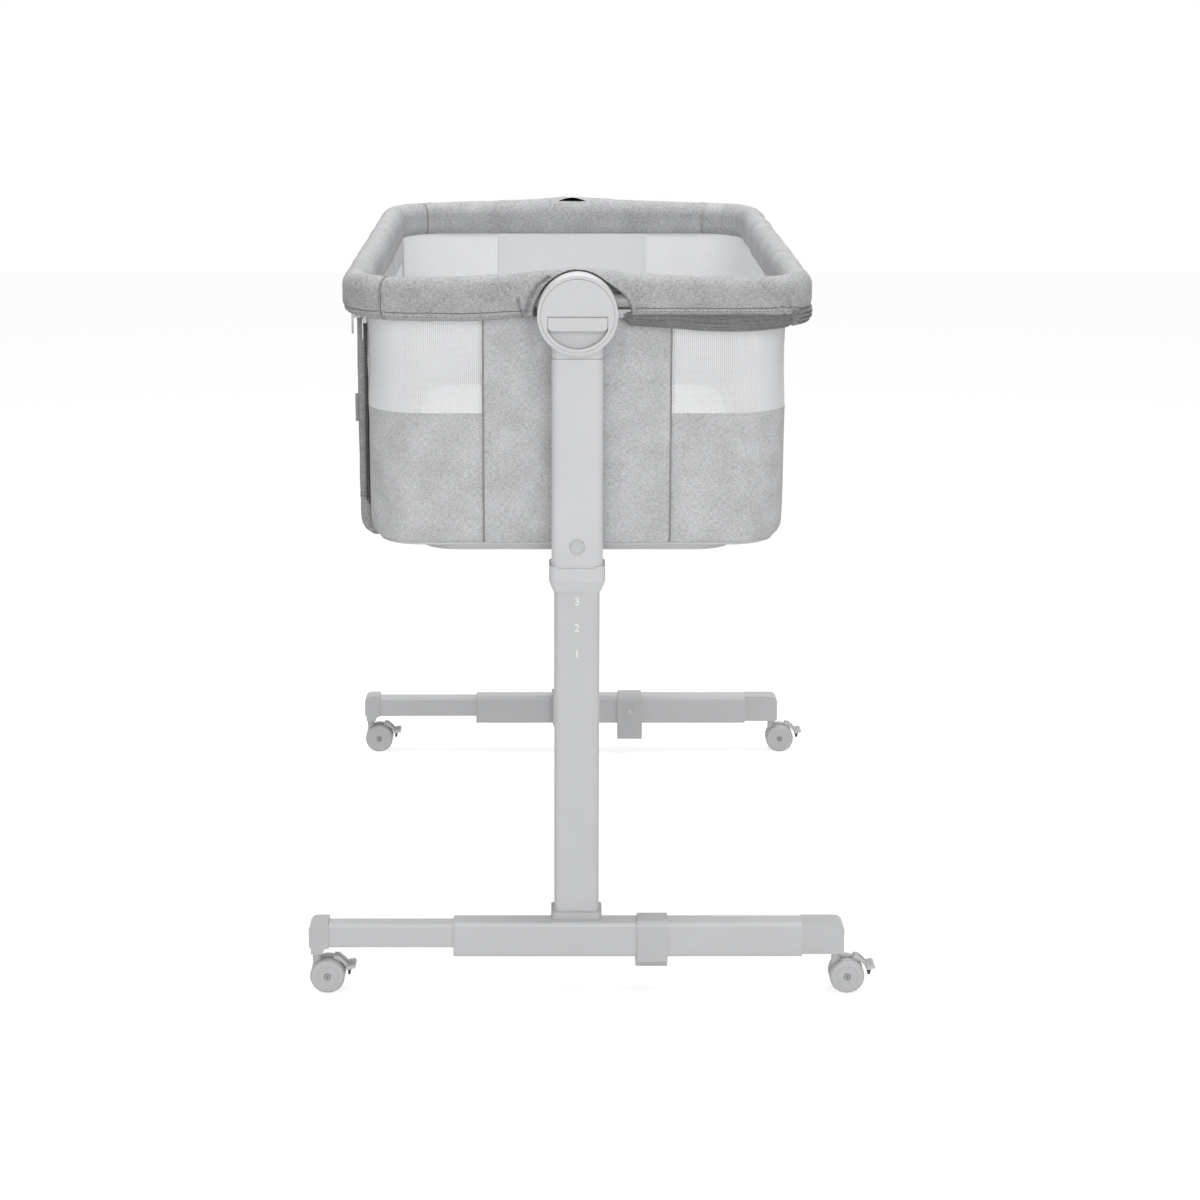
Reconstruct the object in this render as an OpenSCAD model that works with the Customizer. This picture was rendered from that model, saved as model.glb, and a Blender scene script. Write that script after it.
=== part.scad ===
// Bedside sleeper crib. Two end frames, each a castor foot and a telescopic post,
// carry a padded fabric basket whose one long side unzips and folds down.
// X runs along the feet, Y along the crib, Z up. The zip side faces -X.

/* [Basket] */
// Distance between the centre lines of the two long top rails
rail_width = 500; // [440:5:560]
// Distance between the centre lines of the two end top rails
rail_length = 826; // [740:2:920]
// Plan radius of the rail's corners, on its centre line
rail_corner_r = 75; // [66:1:95]
// Height of the rail's centre line above the hubs' centre
rail_rise = 11; // [5:1:14]
// Diameter of the steel frame tube inside the rail
frame_tube_d = 16; // [12:1:18]
// Width of the rail's padding
pad_w = 32; // [29:1:36]
// Height of the rail's padding
pad_h = 46; // [40:1:52]
// Distance from the rail's centre line in to the wall's outer face
wall_inset = 12; // [10:0.5:13]
// Thickness of the fabric walls
wall_t = 3; // [2:0.5:5]
// Height of the basket from its bottom to the top of the rail
basket_h = 306; // [260:2:340]
// Height of the mesh windows
window_h = 111; // [80:1:130]
// Width of the grey panel between the mesh windows of each end
centre_panel_w = 210; // [150:5:260]
// Thickness of the mattress
mattress_t = 45; // [30:1:60]

/* [Drop side] */
// Height of the sill below the side that folds down
sill_h = 38; // [20:1:60]
// How far round each corner the folding rail starts, in degrees
seam_turn = 28; // [20:1:45]
// Width of the fabric border round the side's mesh
side_border = 28; // [15:1:40]

/* [Posts] */
// Height of the hubs' centre above the floor at the top level
hub_z = 787; // [740:1:840]
// How far each post's middle stands outside the centre line of the end rail
post_outset = 15; // [14:0.5:17]
// Width of the lower post
post_w = 51; // [44:1:54]
// Depth of the lower post
post_d = 27; // [24:0.5:28]
// Wall of the lower post
post_t = 1.8; // [1.2:0.1:2.2]
// Length of the lower post
post_len = 500; // [470:5:520]
// Width of the upper sleeve
sleeve_w = 57.5; // [56:0.5:62]
// Depth of the upper sleeve
sleeve_d = 34; // [33:0.5:36]
// Wall of the upper sleeve
sleeve_t = 1.6; // [1.2:0.1:1.8]
// Length of the upper sleeve that shows between collar and hub
sleeve_len = 234; // [200:2:250]
// Height of the collar at the foot of the sleeve
collar_h = 30; // [22:1:40]
// Number of height levels
levels = 5; // [3:1:6]
// Distance between two height levels
level_pitch = 30; // [20:1:36]
// Diameter of the lock pin
pin_d = 8; // [6:0.5:9]
// Diameter of the sight window that shows the level
window_d = 17; // [12:0.5:19]

/* [Hubs] */
// Diameter of the hub
hub_d = 88.5; // [86:0.5:92]
// Length of the hub along the crib
hub_len = 54; // [50:1:56]
// Wall of the hub's housing
hub_t = 3; // [2:0.25:4]
// Width of the release flap
flap_w = 65; // [50:1:66]
// Height of the release flap
flap_h = 15.5; // [12:0.5:18]
// Depth of the finger dish below the flap
dish_depth = 11; // [8:0.5:11]

/* [Feet] */
// Length of each foot over its end caps
foot_len = 614; // [560:2:680]
// How far each foot's centre line stands outside the middle of its post
foot_outset = 15; // [14:0.5:16]
// Height of the foot's outer tube above the floor
foot_z = 44; // [43:0.5:50]
// Height of the outer tube's section
foot_tube_h = 42; // [38:1:46]
// Depth of the outer tube's section
foot_tube_d = 28; // [26:0.5:32]
// Wall of the foot's tubes
foot_tube_t = 1.6; // [1.2:0.1:2]
// Length of the outer tube
outer_tube_len = 397; // [360:1:420]
// Length of the fixed end cap
end_cap_len = 48.5; // [40:0.5:56]
// Length of the sliding end cap
slide_cap_len = 22.5; // [20:0.5:28]
// Height of the sliding inner tube's section
inner_tube_h = 29; // [26:0.5:31]

/* [Castors] */
// Diameter of the castor wheels
wheel_d = 40; // [36:1:42]
// Width of one wheel of the pair
wheel_w = 9; // [7:0.5:10]
// Distance from the swivel axis back to the axle
castor_trail = 12.5; // [10:0.5:15]
// Thickness of the castor's body between its wheels
castor_body_t = 8.4; // [6:0.2:10]
// Diameter of the castor's stem
stem_d = 8; // [6:0.5:9]
// Diameter of the castor's axle
axle_d = 6; // [4:0.5:7]
// Reach of the brake pedal beyond the swivel axis
pedal_reach = 47; // [44:0.5:52]
// Width of the brake pedal
pedal_w = 22; // [16:0.5:26]

/* [Hidden] */
$fn = 64;

// Clearances and the overrun that all cuts share
over = 1;
press_gap = 0.05;
fit_gap = 0.1;
run_gap = 0.3;
spin_gap = 0.05;
soft_gap = 0.4;

// Colours
paint_grey = "#c9cacb";
plastic_grey = "#bfc0c2";
fabric_grey = "#a9aaad";
mesh_white = "#dcdddd";

// Places along the crib: the rail carries the posts, and the posts the feet
rail_y = rail_length / 2;
post_y = rail_y + post_outset;
foot_y = post_y + foot_outset;

// Places along the foot, measured from the post's middle
foot_half = foot_len / 2;
stem_inset = 8;
stem_x = foot_half - stem_inset;
centre_x = (stem_x + pedal_reach - foot_half) / 2;
foot_mid_z = foot_z + foot_tube_h / 2;
foot_top = foot_z + foot_tube_h;
foot_corner_r = 5;
outer_x1 = foot_half - end_cap_len;
outer_x0 = outer_x1 - outer_tube_len;
foot_bore_d = foot_tube_d - 2 * foot_tube_t;

// Castors
wheel_r = wheel_d / 2;
head_r = stem_inset - over;
head_h = 4;
castor_head_h = 6.5;
castor_top = wheel_d + castor_head_h;
castor_gap = 0.5;
castor_seat = castor_top + castor_gap;
stem_grip = 29;
stem_socket_depth = stem_grip + over;
axle_x = castor_trail;
body_r = 14;
brake_axis_x = castor_trail + 10.5;
brake_axis_z = wheel_d - castor_gap;
brake_boss_r = 3.6;
brake_pin_d = 3;
brake_ear_t = 3;
brake_ear_back = 3;
pedal_under = 2.2;
pedal_z1 = foot_z - pedal_under;
pedal_t = 7;
pedal_root = 6;
pedal_x0 = brake_axis_x + pedal_root;
pedal_nose = 3;
pedal_thin = 1.7;
shoe_x = brake_axis_x + 11.6;
shoe_z = wheel_r + 8.2;
shoe_t = 3.4;
cap_share = 0.22;
face_share = 0.6;
face_edge_share = 0.66;
cap_in = 1.4;
face_in = 0.8;
rim_round = 2;
rim_slope = 2.4;

// Caps and glides of the feet
cap_corner_r = 9;
cap_foot_r = 4;
cap_lift = castor_seat + over - foot_z;
cap_d = foot_tube_d - over;
cap_top_drop = 0.4;
cap_h = foot_tube_h - cap_lift - cap_top_drop;
plug_len = 25;
inner_top_drop = 3;
inner_z1 = foot_top - inner_top_drop;
inner_z0 = inner_z1 - inner_tube_h;
inner_mid_z = (inner_z0 + inner_z1) / 2;
glide_t = 1.1;
inner_tube_d = foot_bore_d - 2 * glide_t - 2 * run_gap;
inner_corner_r = 4;
glide_len = 18;
glide_lip = 2.8;
glide_bump_d = 8;
glide_bump_drop = 1.2;
glide_bump_inset = 12;
glide_bump_x = outer_x0 + glide_bump_inset;
slide_x0 = -foot_half + slide_cap_len;
shoe_len = 30;
shoe_x0 = outer_x0 + glide_len + run_gap;
inner_tube_len = shoe_x0 + shoe_len - slide_x0;
slide_neck_top_w = 20;
slide_neck_low_w = 14;

// Saddle clamp on the foot
saddle_x = 87;
saddle_w = 37;
saddle_t = 3;
saddle_front_drop = 4;
saddle_plate_t = 5;
saddle_plate_drop = 22;
saddle_ledge = 4;

// Post bracket
bracket_w = 58;
bracket_corner_r = 6;
bracket_rise = 8;
bracket_floor = 2;
bracket_depth = 35;
flange_w = 55;
flange_drop = 6;
flange_corner_r = 14;
flange_web = 5;
flange_rib = 7;
spigot_h = 40;
inner_face_y = -foot_y + foot_tube_d / 2;
bracket_back_y = -post_y + bracket_depth / 2;

// Screws
screw_d = 4;
screw_head_d = 7;
screw_head_h = 2;
bracket_screw_x = 13;
post_screw_z = foot_top + bracket_floor + spigot_h / 2;

// Posts
post_z0 = foot_top + bracket_floor;
post_corner_r = 6;
post_z1 = post_z0 + post_len;
guide_h = 20;
guide_top = 3;
sleeve_corner_r = 7;
sleeve_bore_w = sleeve_w - 2 * sleeve_t;
sleeve_bore_d = sleeve_d - 2 * sleeve_t;
hub_r = hub_d / 2;
neck_h = 5.2;
neck_z = hub_z - hub_r - neck_h;
collar_z1 = neck_z - sleeve_len;
collar_z0 = collar_z1 - collar_h;
collar_floor = 5;
collar_grow = 5.5;
collar_lip = 3;
collar_top_w = sleeve_w + collar_grow;
collar_top_d = sleeve_d + collar_grow;
collar_low_w = post_w + collar_lip;
collar_low_d = post_d + collar_lip;
collar_slope_share = 0.4;
collar_dip = 2.5;
collar_dip_side = 9.5;
collar_dip_w = collar_top_w - 2 * collar_dip_side;
sleeve_z0 = collar_z0 + collar_floor;
sight_rise = 22;
sight_z = collar_z1 + sight_rise;
lens_proud = 1.2;
lens_behind = 0.2;
lens_ring = 1.3;
pin_rise = 28;
pin_z = collar_z1 + pin_rise;
pin_hole_d = pin_d + 2 * run_gap;
pin_len = 24;
pin_tip_x = post_w / 2 - post_t - run_gap;

// Hub
hub_reach = 29;
hub_y0 = -post_y - hub_reach;
hub_y1 = hub_y0 + hub_len;
cover_t = 3;
cover_proud = 1;
cover_gap = 0.35;
cover_r = hub_r - hub_t - over;
cover_y0 = hub_y0 - cover_proud;
cover_y1 = cover_y0 + cover_t;
ledge_t = 2;
ledge_w = 1.6;
ledge_r = cover_r - ledge_w;
dish_rim = 3.6;
dish_r = cover_r - dish_rim;
dish_wall = 1.5;
flap_gap = 0.5;
flap_drop = 16.5;
flap_z0 = hub_z - flap_drop;
flap_z1 = flap_z0 + flap_h;
flap_corner_r = 5;
hinge_barrel_r = 2.5;
hinge_pin_r = 1.5;
hinge_y = cover_y0 + hinge_barrel_r;
hinge_z = flap_z1 - hinge_barrel_r;
window_half = flap_w / 2 + flap_gap;
ear_w = 3.4;
ear_h = 8;
arm_w = 8;
arm_t = 3;
arm_notch_h = 12;
rod_w = 6;
rod_reach = 17.5;
rod_y0 = hinge_y + rod_reach;
arm_len = rod_reach + rod_w - 2 * over;
rod_drop = 8.9;
rod_z1 = hinge_z - arm_t + over - run_gap;
tongue_w = 26;
tongue_d = 17.4;
tongue_y0 = rod_y0 - 2 * run_gap;
tongue_below = 16;
tongue_z0 = pin_z - tongue_below;
pin_roof = 2.4;
pin_bore_x = 9;
tongue_slot_z = pin_z + pin_d / 2 + pin_roof;
rod_z0 = tongue_slot_z + rod_drop + over;
neck_plug_h = 20;
neck_in = 6;
hub_bed_w = 30;

// Rail and basket
rail_x = rail_width / 2;
rail_z = hub_z + rail_rise;
corner_x = rail_x - rail_corner_r;
corner_y = rail_y - rail_corner_r;
frame_tube_t = 1.5;
pad_r = pad_w / 2;
pad_shift = (pad_h - pad_w) / 2;
pad_top = rail_z + pad_h / 2;
pad_bore_d = frame_tube_d + 2 * fit_gap;
hump_rise = 4;
hump_r = hub_r + hump_rise;
hub_relief_r = hub_r + soft_gap;
hump_y0 = hub_y1 + run_gap;
hump_y1 = -rail_y + pad_r;
wall_x = rail_x - wall_inset;
wall_y = rail_y - wall_inset;
wall_r = rail_corner_r - wall_inset;
wall_top = rail_z - pad_shift - sqrt(pow(pad_r, 2) - pow(wall_inset, 2)) - soft_gap;
liner_z0 = pad_top - basket_h;
window_z0 = wall_top - window_h;
liner_floor_t = 2.5;
liner_heights_share = [0, 0.05, 0.16, 0.35, 1];
liner_inset_share = [0.13, 0.055, 0.018, 0.004, 0];
layer_t = 0.1;
corner_share = 0.6;
liner_band_h = window_z0 - liner_z0 - layer_t;
mesh_t = 1.2;
sill_z = liner_z0 + sill_h;
zip_gap = 1.5;
side_y = corner_y - zip_gap;
side_rise = 3;
side_z0 = sill_z + side_rise;
seam_gap_turn = 0.9;
board_t = 6;
board_inset = 36;
board_z = liner_z0 + liner_floor_t;
tray_h = 10;
tray_side_inset = 52;
tray_end_inset = 22;
tray_r = 50;
tray_lip = 8;
tray_t = 2.5;
mattress_gap = 10;
mattress_z0 = board_z + board_t + soft_gap;
mattress_crown = 5;
mattress_draw = 8;
crown_share = 0.7;
mattress_layers_share = [0, 0.1, 0.3, 0.5, 0.7, 0.9, 1];

// Zip sliders
tape_w = 9.4;
slider_inset = 3.2;
slider_y = corner_y + slider_inset;
slider_w = 6;
slider_h = 10;
slider_t = 4;
slider_drop = 2;
slider_z1 = rail_z - pad_h / 2 - slider_drop;
pull_w = 4;
pull_h = 24;
pull_t = 1.4;

// Moves a piece from the post's middle to the middle of the crib's outline
module placed() translate([-centre_x, 0, 0]) children();

// A rectangle with round corners, centred
module rounded(w, h, r) {
    square([w - 2 * r, h], center = true);
    square([w, h - 2 * r], center = true);
    for (sx = [-1, 1], sy = [-1, 1])
        translate([sx * (w / 2 - r), sy * (h / 2 - r)]) circle(r);
}

// Extrudes an outline drawn in Y and Z along X
module along_x(x0, len) translate([x0, 0, 0]) rotate([90, 0, 90]) linear_extrude(len) children();

// Extrudes an outline drawn in X and Z along Y
module along_y(y0, len) translate([0, y0 + len, 0]) rotate([90, 0, 0]) linear_extrude(len) children();

// Extrudes an outline drawn in X and Y along Z
module along_z(z0, len) translate([0, 0, z0]) linear_extrude(len) children();

// A round bar along Y
module bar_y(x, z, y0, len, r) along_y(y0, len) translate([x, z]) circle(r);

// Foot tubes
module foot_section(grow) translate([-foot_y, foot_mid_z])
    rounded(foot_tube_d + 2 * grow, foot_tube_h + 2 * grow, foot_corner_r + grow);

module inner_section(grow) translate([-foot_y, inner_mid_z])
    rounded(inner_tube_d + 2 * grow, inner_tube_h + 2 * grow, inner_corner_r + grow);

module outer_tube() placed() color(paint_grey) difference() {
    along_x(outer_x0, outer_tube_len) foot_section(0);
    along_x(outer_x0 - over, outer_tube_len + 2 * over) foot_section(-foot_tube_t);
    translate([glide_bump_x, -foot_y, foot_z - over])
        cylinder(d = glide_bump_d + 2 * fit_gap, h = foot_tube_t + 2 * over);
    for (x = [-bracket_screw_x, bracket_screw_x, saddle_x])
        bar_y(x, foot_mid_z, inner_face_y - foot_tube_t - over, foot_tube_t + 2 * over,
            screw_d / 2 + fit_gap);
}

// End caps and their castor sockets
module stem_socket(x) translate([x, -foot_y, castor_seat - over])
    cylinder(d = stem_d + 2 * spin_gap, h = stem_socket_depth + over);

module cap_outline(len, h) {
    square([len - cap_corner_r, h]);
    translate([0, cap_foot_r]) square([len, h - cap_corner_r - cap_foot_r]);
    translate([len - cap_corner_r, h - cap_corner_r]) circle(cap_corner_r);
    translate([len - cap_corner_r, cap_foot_r]) square([cap_corner_r - cap_foot_r, h / 2]);
    translate([len - cap_corner_r, 0]) square([cap_corner_r - cap_foot_r, h / 2]);
    translate([len - cap_foot_r, cap_foot_r]) circle(cap_foot_r);
}

module end_cap() placed() color(plastic_grey) difference() {
    union() {
        along_y(-foot_y - cap_d / 2, cap_d) translate([outer_x1, foot_z + cap_lift])
            cap_outline(end_cap_len, cap_h);
        along_x(outer_x1 - plug_len, plug_len + over) foot_section(-foot_tube_t - press_gap);
        translate([stem_x, -foot_y, castor_seat]) cylinder(r = stem_inset - over, h = 2 * over);
    }
    stem_socket(stem_x);
}

module slide_cap() placed() color(plastic_grey) difference() {
    union() {
        along_y(-foot_y - cap_d / 2, cap_d) mirror([1, 0]) translate([-slide_x0, inner_z0])
            cap_outline(slide_cap_len, foot_top - inner_z0 - cap_top_drop);
        along_x(slide_x0 - over, plug_len + over) inner_section(-foot_tube_t - press_gap);
        along_y(-foot_y - cap_d / 2 + over, cap_d - 2 * over) translate([-stem_x, 0]) polygon([
            [-slide_neck_low_w / 2 + over, inner_z0 + cap_foot_r],
            [slide_neck_top_w / 2, inner_z0 + cap_foot_r],
            [slide_neck_top_w / 2, inner_z0], [slide_neck_low_w / 2, castor_seat],
            [-slide_neck_low_w / 2 + over, castor_seat]]);
    }
    stem_socket(-stem_x);
}

module inner_tube() placed() color(paint_grey) difference() {
    along_x(slide_x0, inner_tube_len) inner_section(0);
    along_x(slide_x0 - over, inner_tube_len + 2 * over) inner_section(-foot_tube_t);
}

module slide_shoe() placed() color(plastic_grey) difference() {
    along_x(shoe_x0, shoe_len) foot_section(-foot_tube_t - run_gap);
    along_x(shoe_x0 - over, shoe_len + 2 * over) inner_section(press_gap);
}

// The glide in the mouth of the outer tube, and the guide on top of the lower post
module glides() placed() color(plastic_grey) {
    difference() {
        union() {
            along_x(outer_x0, glide_len) foot_section(-foot_tube_t - press_gap);
            along_x(outer_x0 - glide_lip, glide_lip) foot_section(-press_gap);
            translate([glide_bump_x, -foot_y, foot_z - glide_bump_drop])
                cylinder(d = glide_bump_d, h = foot_tube_t + glide_bump_drop + over);
        }
        along_x(outer_x0 - glide_lip - over, glide_len + glide_lip + 2 * over) inner_section(run_gap);
    }
    difference() {
        along_z(post_z1 - guide_h, guide_h + guide_top) translate([0, -post_y])
            rounded(sleeve_bore_w - 2 * run_gap, sleeve_bore_d - 2 * run_gap, post_corner_r);
        along_z(post_z1 - guide_h - over, guide_h + over) post_section(press_gap);
        along_z(post_z1 - over, guide_top + 2 * over) post_section(-post_t - fit_gap);
    }
}

// Saddle clamp over the foot tube
module saddle() placed() color(plastic_grey) difference() {
    union() {
        along_x(saddle_x - saddle_w / 2 + over, saddle_w - 2 * over) translate([-foot_y, foot_mid_z])
            rounded(foot_tube_d + 2 * saddle_t, foot_tube_h + 2 * saddle_t, foot_corner_r + saddle_t);
        along_x(saddle_x - saddle_w / 2 + over, saddle_w - 2 * over)
            translate([-foot_y - foot_tube_d / 2 - saddle_t, foot_z - saddle_front_drop])
            square([saddle_t, foot_tube_h / 2]);
        along_x(saddle_x - saddle_w / 2, saddle_w)
            translate([inner_face_y, foot_z - saddle_plate_drop])
            square([saddle_plate_t, foot_tube_h + saddle_plate_drop - saddle_ledge]);
    }
    along_x(saddle_x - saddle_w, 2 * saddle_w) foot_section(fit_gap);
    along_x(saddle_x - saddle_w, 2 * saddle_w)
        translate([-foot_y - foot_tube_d / 2 - fit_gap, foot_z - saddle_plate_drop - over])
        square([foot_tube_d + 2 * fit_gap, saddle_plate_drop + foot_tube_h / 2]);
    bar_y(saddle_x, foot_mid_z, inner_face_y - over, saddle_plate_t + 2 * over,
        screw_d / 2 + fit_gap);
}

// Post and its bracket
module post_section(grow) translate([0, -post_y])
    rounded(post_w + 2 * grow, post_d + 2 * grow, post_corner_r + grow);

module flange_outline(w, h, r) {
    translate([-w / 2, r]) square([w, h - r]);
    translate([-w / 2 + r, 0]) square([w - 2 * r, h]);
    for (sx = [-1, 1]) translate([sx * (w / 2 - r), r]) circle(r);
}

module post_bracket() placed() color(plastic_grey) difference() {
    union() {
        along_z(foot_top, bracket_rise) translate([0, -post_y])
            rounded(bracket_w, bracket_depth, bracket_corner_r);
        along_z(foot_top, bracket_floor + spigot_h) post_section(-post_t - fit_gap);
        along_y(inner_face_y, bracket_back_y - inner_face_y) translate([0, foot_z - flange_drop])
            flange_outline(flange_w, foot_tube_h + flange_drop + over, flange_corner_r);
    }
    difference() {
        along_z(post_z0, bracket_rise) post_section(fit_gap);
        along_z(post_z0 - over, bracket_rise + 2 * over) post_section(-post_t - fit_gap);
    }
    along_y(inner_face_y + flange_web, bracket_depth)
        translate([0, foot_z - flange_drop + flange_rib])
            flange_outline(flange_w - 2 * flange_rib, foot_tube_h - flange_rib, flange_corner_r / 2);
    for (sx = [-1, 1]) bar_y(sx * bracket_screw_x, foot_mid_z, inner_face_y - over,
        flange_web + 2 * over, screw_d / 2 + fit_gap);
    bar_y(0, post_screw_z, -post_y, post_d, screw_d / 2 + fit_gap);
}

module lower_post() placed() color(paint_grey) difference() {
    along_z(post_z0, post_len) post_section(0);
    along_z(post_z0 - over, post_len + 2 * over) post_section(-post_t);
    for (k = [0 : levels - 1])
        translate([post_w / 2 - post_t - over, -post_y, pin_z - k * level_pitch])
            rotate([0, 90, 0]) cylinder(d = pin_hole_d, h = post_t + 2 * over);
    bar_y(0, post_screw_z, -post_y + post_d / 2 - post_t - over, post_t + 2 * over,
        screw_d / 2 + fit_gap);
}

// A screw along Y: its head lies on the face at y and its shank runs to -Y
module screw(x, z, y, len) {
    bar_y(x, z, y, screw_head_h, screw_head_d / 2);
    bar_y(x, z, y - len, len + over, screw_d / 2);
}

module screws() placed() color("silver") {
    for (sx = [-1, 1])
        screw(sx * bracket_screw_x, foot_mid_z, inner_face_y + flange_web, flange_web + foot_tube_t);
    screw(saddle_x, foot_mid_z, inner_face_y + saddle_plate_t, saddle_plate_t + foot_tube_t);
    screw(0, post_screw_z, -post_y + post_d / 2, post_d / 2);
}

// Upper sleeve, collar and sight window
module sleeve_section(grow) translate([0, -post_y])
    rounded(sleeve_w + 2 * grow, sleeve_d + 2 * grow, sleeve_corner_r + grow);

module sleeve() placed() color(paint_grey) difference() {
    along_z(sleeve_z0, neck_z - sleeve_z0) sleeve_section(0);
    along_z(sleeve_z0 - over, neck_z - sleeve_z0 + 2 * over) sleeve_section(-sleeve_t);
    bar_y(0, sight_z, -post_y - sleeve_d / 2 - over, sleeve_t + 2 * over, window_d / 2);
}

module collar() placed() color(plastic_grey) difference() {
    hull() {
        along_z(collar_z0, over) translate([0, -post_y])
            rounded(collar_low_w, collar_low_d, post_corner_r, $fn = 32);
        along_z(collar_z0 + collar_h * collar_slope_share, collar_h * (1 - collar_slope_share))
            translate([0, -post_y])
            rounded(collar_top_w, collar_top_d, sleeve_corner_r, $fn = 32);
    }
    along_z(collar_z0 - over, collar_h) post_section(run_gap);
    along_z(sleeve_z0, collar_h) sleeve_section(fit_gap);
    along_y(-post_y - sleeve_d, 2 * sleeve_d) polygon([
        [-collar_dip_w / 2, collar_z1 + over],
        [-collar_dip_w / 2 + collar_dip, collar_z1 - collar_dip],
        [collar_dip_w / 2 - collar_dip, collar_z1 - collar_dip],
        [collar_dip_w / 2, collar_z1 + over]]);
}

module sight_lens() placed() color("white", 0.5) {
    bar_y(0, sight_z, -post_y - sleeve_d / 2 - lens_proud / 2,
        sleeve_t + lens_proud / 2 + lens_behind, window_d / 2 - fit_gap);
    bar_y(0, sight_z, -post_y - sleeve_d / 2 - lens_proud, lens_proud, window_d / 2 - lens_ring);
}

// Hub housing with its neck, its bed for the frame tube and its guide tongue
module hub_shell() placed() color(plastic_grey) difference() {
    union() {
        difference() {
            bar_y(0, hub_z, hub_y0, hub_len, hub_r);
            bar_y(0, hub_z, cover_y1 + ledge_t, hub_y1 - hub_t - cover_y1 - ledge_t, hub_r - hub_t);
            bar_y(0, hub_z, hub_y0 - over, hub_len / 2, ledge_r);
            bar_y(0, hub_z, hub_y0 - over, cover_y1 - hub_y0 + over, cover_r + cover_gap);
        }
        along_z(neck_z, neck_h + hub_t + neck_in) sleeve_section(0);
        along_z(neck_z - neck_plug_h, neck_plug_h + over) sleeve_section(-sleeve_t - press_gap);
        translate([-hub_bed_w / 2, -rail_y - frame_tube_d / 2, neck_z])
            cube([hub_bed_w, hub_y1 + rail_y + frame_tube_d / 2 - over,
                rail_z - neck_z + frame_tube_d / 2 + over]);
        translate([-tongue_w / 2, tongue_y0, tongue_z0])
            cube([tongue_w, tongue_d, neck_z + neck_h - tongue_z0]);
    }
    along_x(-hub_r - over, 2 * (hub_r + over)) translate([-rail_y, rail_z])
        circle(d = frame_tube_d + 2 * fit_gap);
    translate([-rod_w / 2 - 2 * run_gap, rod_y0 - rod_w, tongue_slot_z])
        cube([rod_w + 4 * run_gap, 2 * rod_w + 2 * run_gap, hub_z - tongue_slot_z]);
    translate([-pin_bore_x, -post_y, pin_z]) rotate([0, 90, 0])
        cylinder(d = pin_d + 2 * spin_gap, h = tongue_w);
}

module cover_dish() intersection() {
    bar_y(0, hub_z, cover_y0, dish_depth + dish_wall, dish_r + dish_wall);
    translate([-hub_r, cover_y0, hub_z - hub_r])
        cube([hub_d, dish_depth + dish_wall, hinge_z - hinge_barrel_r - over - hub_z + hub_r]);
}

module hub_cover() placed() color(plastic_grey) difference() {
    union() {
        bar_y(0, hub_z, cover_y0, cover_t, cover_r);
        cover_dish();
        for (sx = [-1, 1])
            translate([sx * (window_half + ear_w / 2) - ear_w / 2, cover_y1 - over, hinge_z - ear_h / 2])
                cube([ear_w, hinge_y - cover_y1 + over + ear_h / 2, ear_h]);
    }
    intersection() {
        bar_y(0, hub_z, cover_y0 - over, dish_depth + over, dish_r);
        along_y(cover_y0 - over, dish_depth + over) translate([-window_half, 0])
            square([2 * window_half, flap_z1 + flap_gap]);
    }
    translate([-window_half, cover_y0 - over, flap_z0])
        cube([2 * window_half, cover_t + 2 * over, flap_h + flap_gap]);
    translate([-arm_w / 2 - run_gap, cover_y0 + dish_depth - over, hinge_z - arm_notch_h])
        cube([arm_w + 2 * run_gap, dish_wall + 2 * over, arm_notch_h]);
    for (sx = [-1, 1]) translate([sx * (window_half + ear_w / 2) - ear_w, hinge_y, hinge_z])
        rotate([0, 90, 0]) cylinder(r = hinge_pin_r + spin_gap, h = 2 * ear_w);
}

module release_flap() placed() color(plastic_grey) {
    along_y(cover_y0, cover_t) translate([0, flap_z0])
        flange_outline(flap_w, hinge_z - flap_z0, flap_corner_r);
    translate([-flap_w / 2, hinge_y, hinge_z]) rotate([0, 90, 0])
        cylinder(r = hinge_barrel_r, h = flap_w);
    translate([-flap_w / 2 - ear_w, hinge_y, hinge_z]) rotate([0, 90, 0])
        cylinder(r = hinge_pin_r, h = flap_w + 2 * ear_w);
    translate([-arm_w / 2, hinge_y, hinge_z - arm_t + over]) cube([arm_w, arm_len, arm_t]);
}

module pull_rod() placed() color("silver")
    translate([-rod_w / 2, rod_y0, rod_z0]) cube([rod_w, rod_w, rod_z1 - rod_z0]);

module lock_pin() placed() color("silver")
    translate([pin_tip_x - pin_len, -post_y, pin_z]) rotate([0, 90, 0]) cylinder(d = pin_d, h = pin_len);

// Castors
module castor_at(x) translate([x, -foot_y, 0]) children();

module castor_body() color(plastic_grey) difference() {
    union() {
        translate([0, 0, castor_top - over]) cylinder(d = stem_d, h = stem_grip + over);
        along_y(-castor_body_t / 2, castor_body_t) {
            translate([axle_x, wheel_r]) circle(body_r);
            polygon([[-head_r, castor_top], [head_r, castor_top],
                [axle_x + 2 * over, brake_axis_z + brake_boss_r],
                [brake_axis_x, brake_axis_z + brake_boss_r], [brake_axis_x + brake_boss_r, brake_axis_z],
                [axle_x + body_r - over, wheel_r + body_r / 2], [axle_x, wheel_r],
                [axle_x - body_r + over, wheel_r - body_r / 2], [-head_r, wheel_r + over]]);
            translate([brake_axis_x, brake_axis_z]) circle(brake_boss_r);
        }
        translate([0, 0, castor_top - head_h]) cylinder(r = head_r, h = head_h);
    }
    bar_y(axle_x, wheel_r, -wheel_d, 2 * wheel_d, axle_d / 2 + spin_gap);
    bar_y(brake_axis_x, brake_axis_z, -wheel_d, 2 * wheel_d, brake_pin_d / 2 + spin_gap);
}

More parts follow.
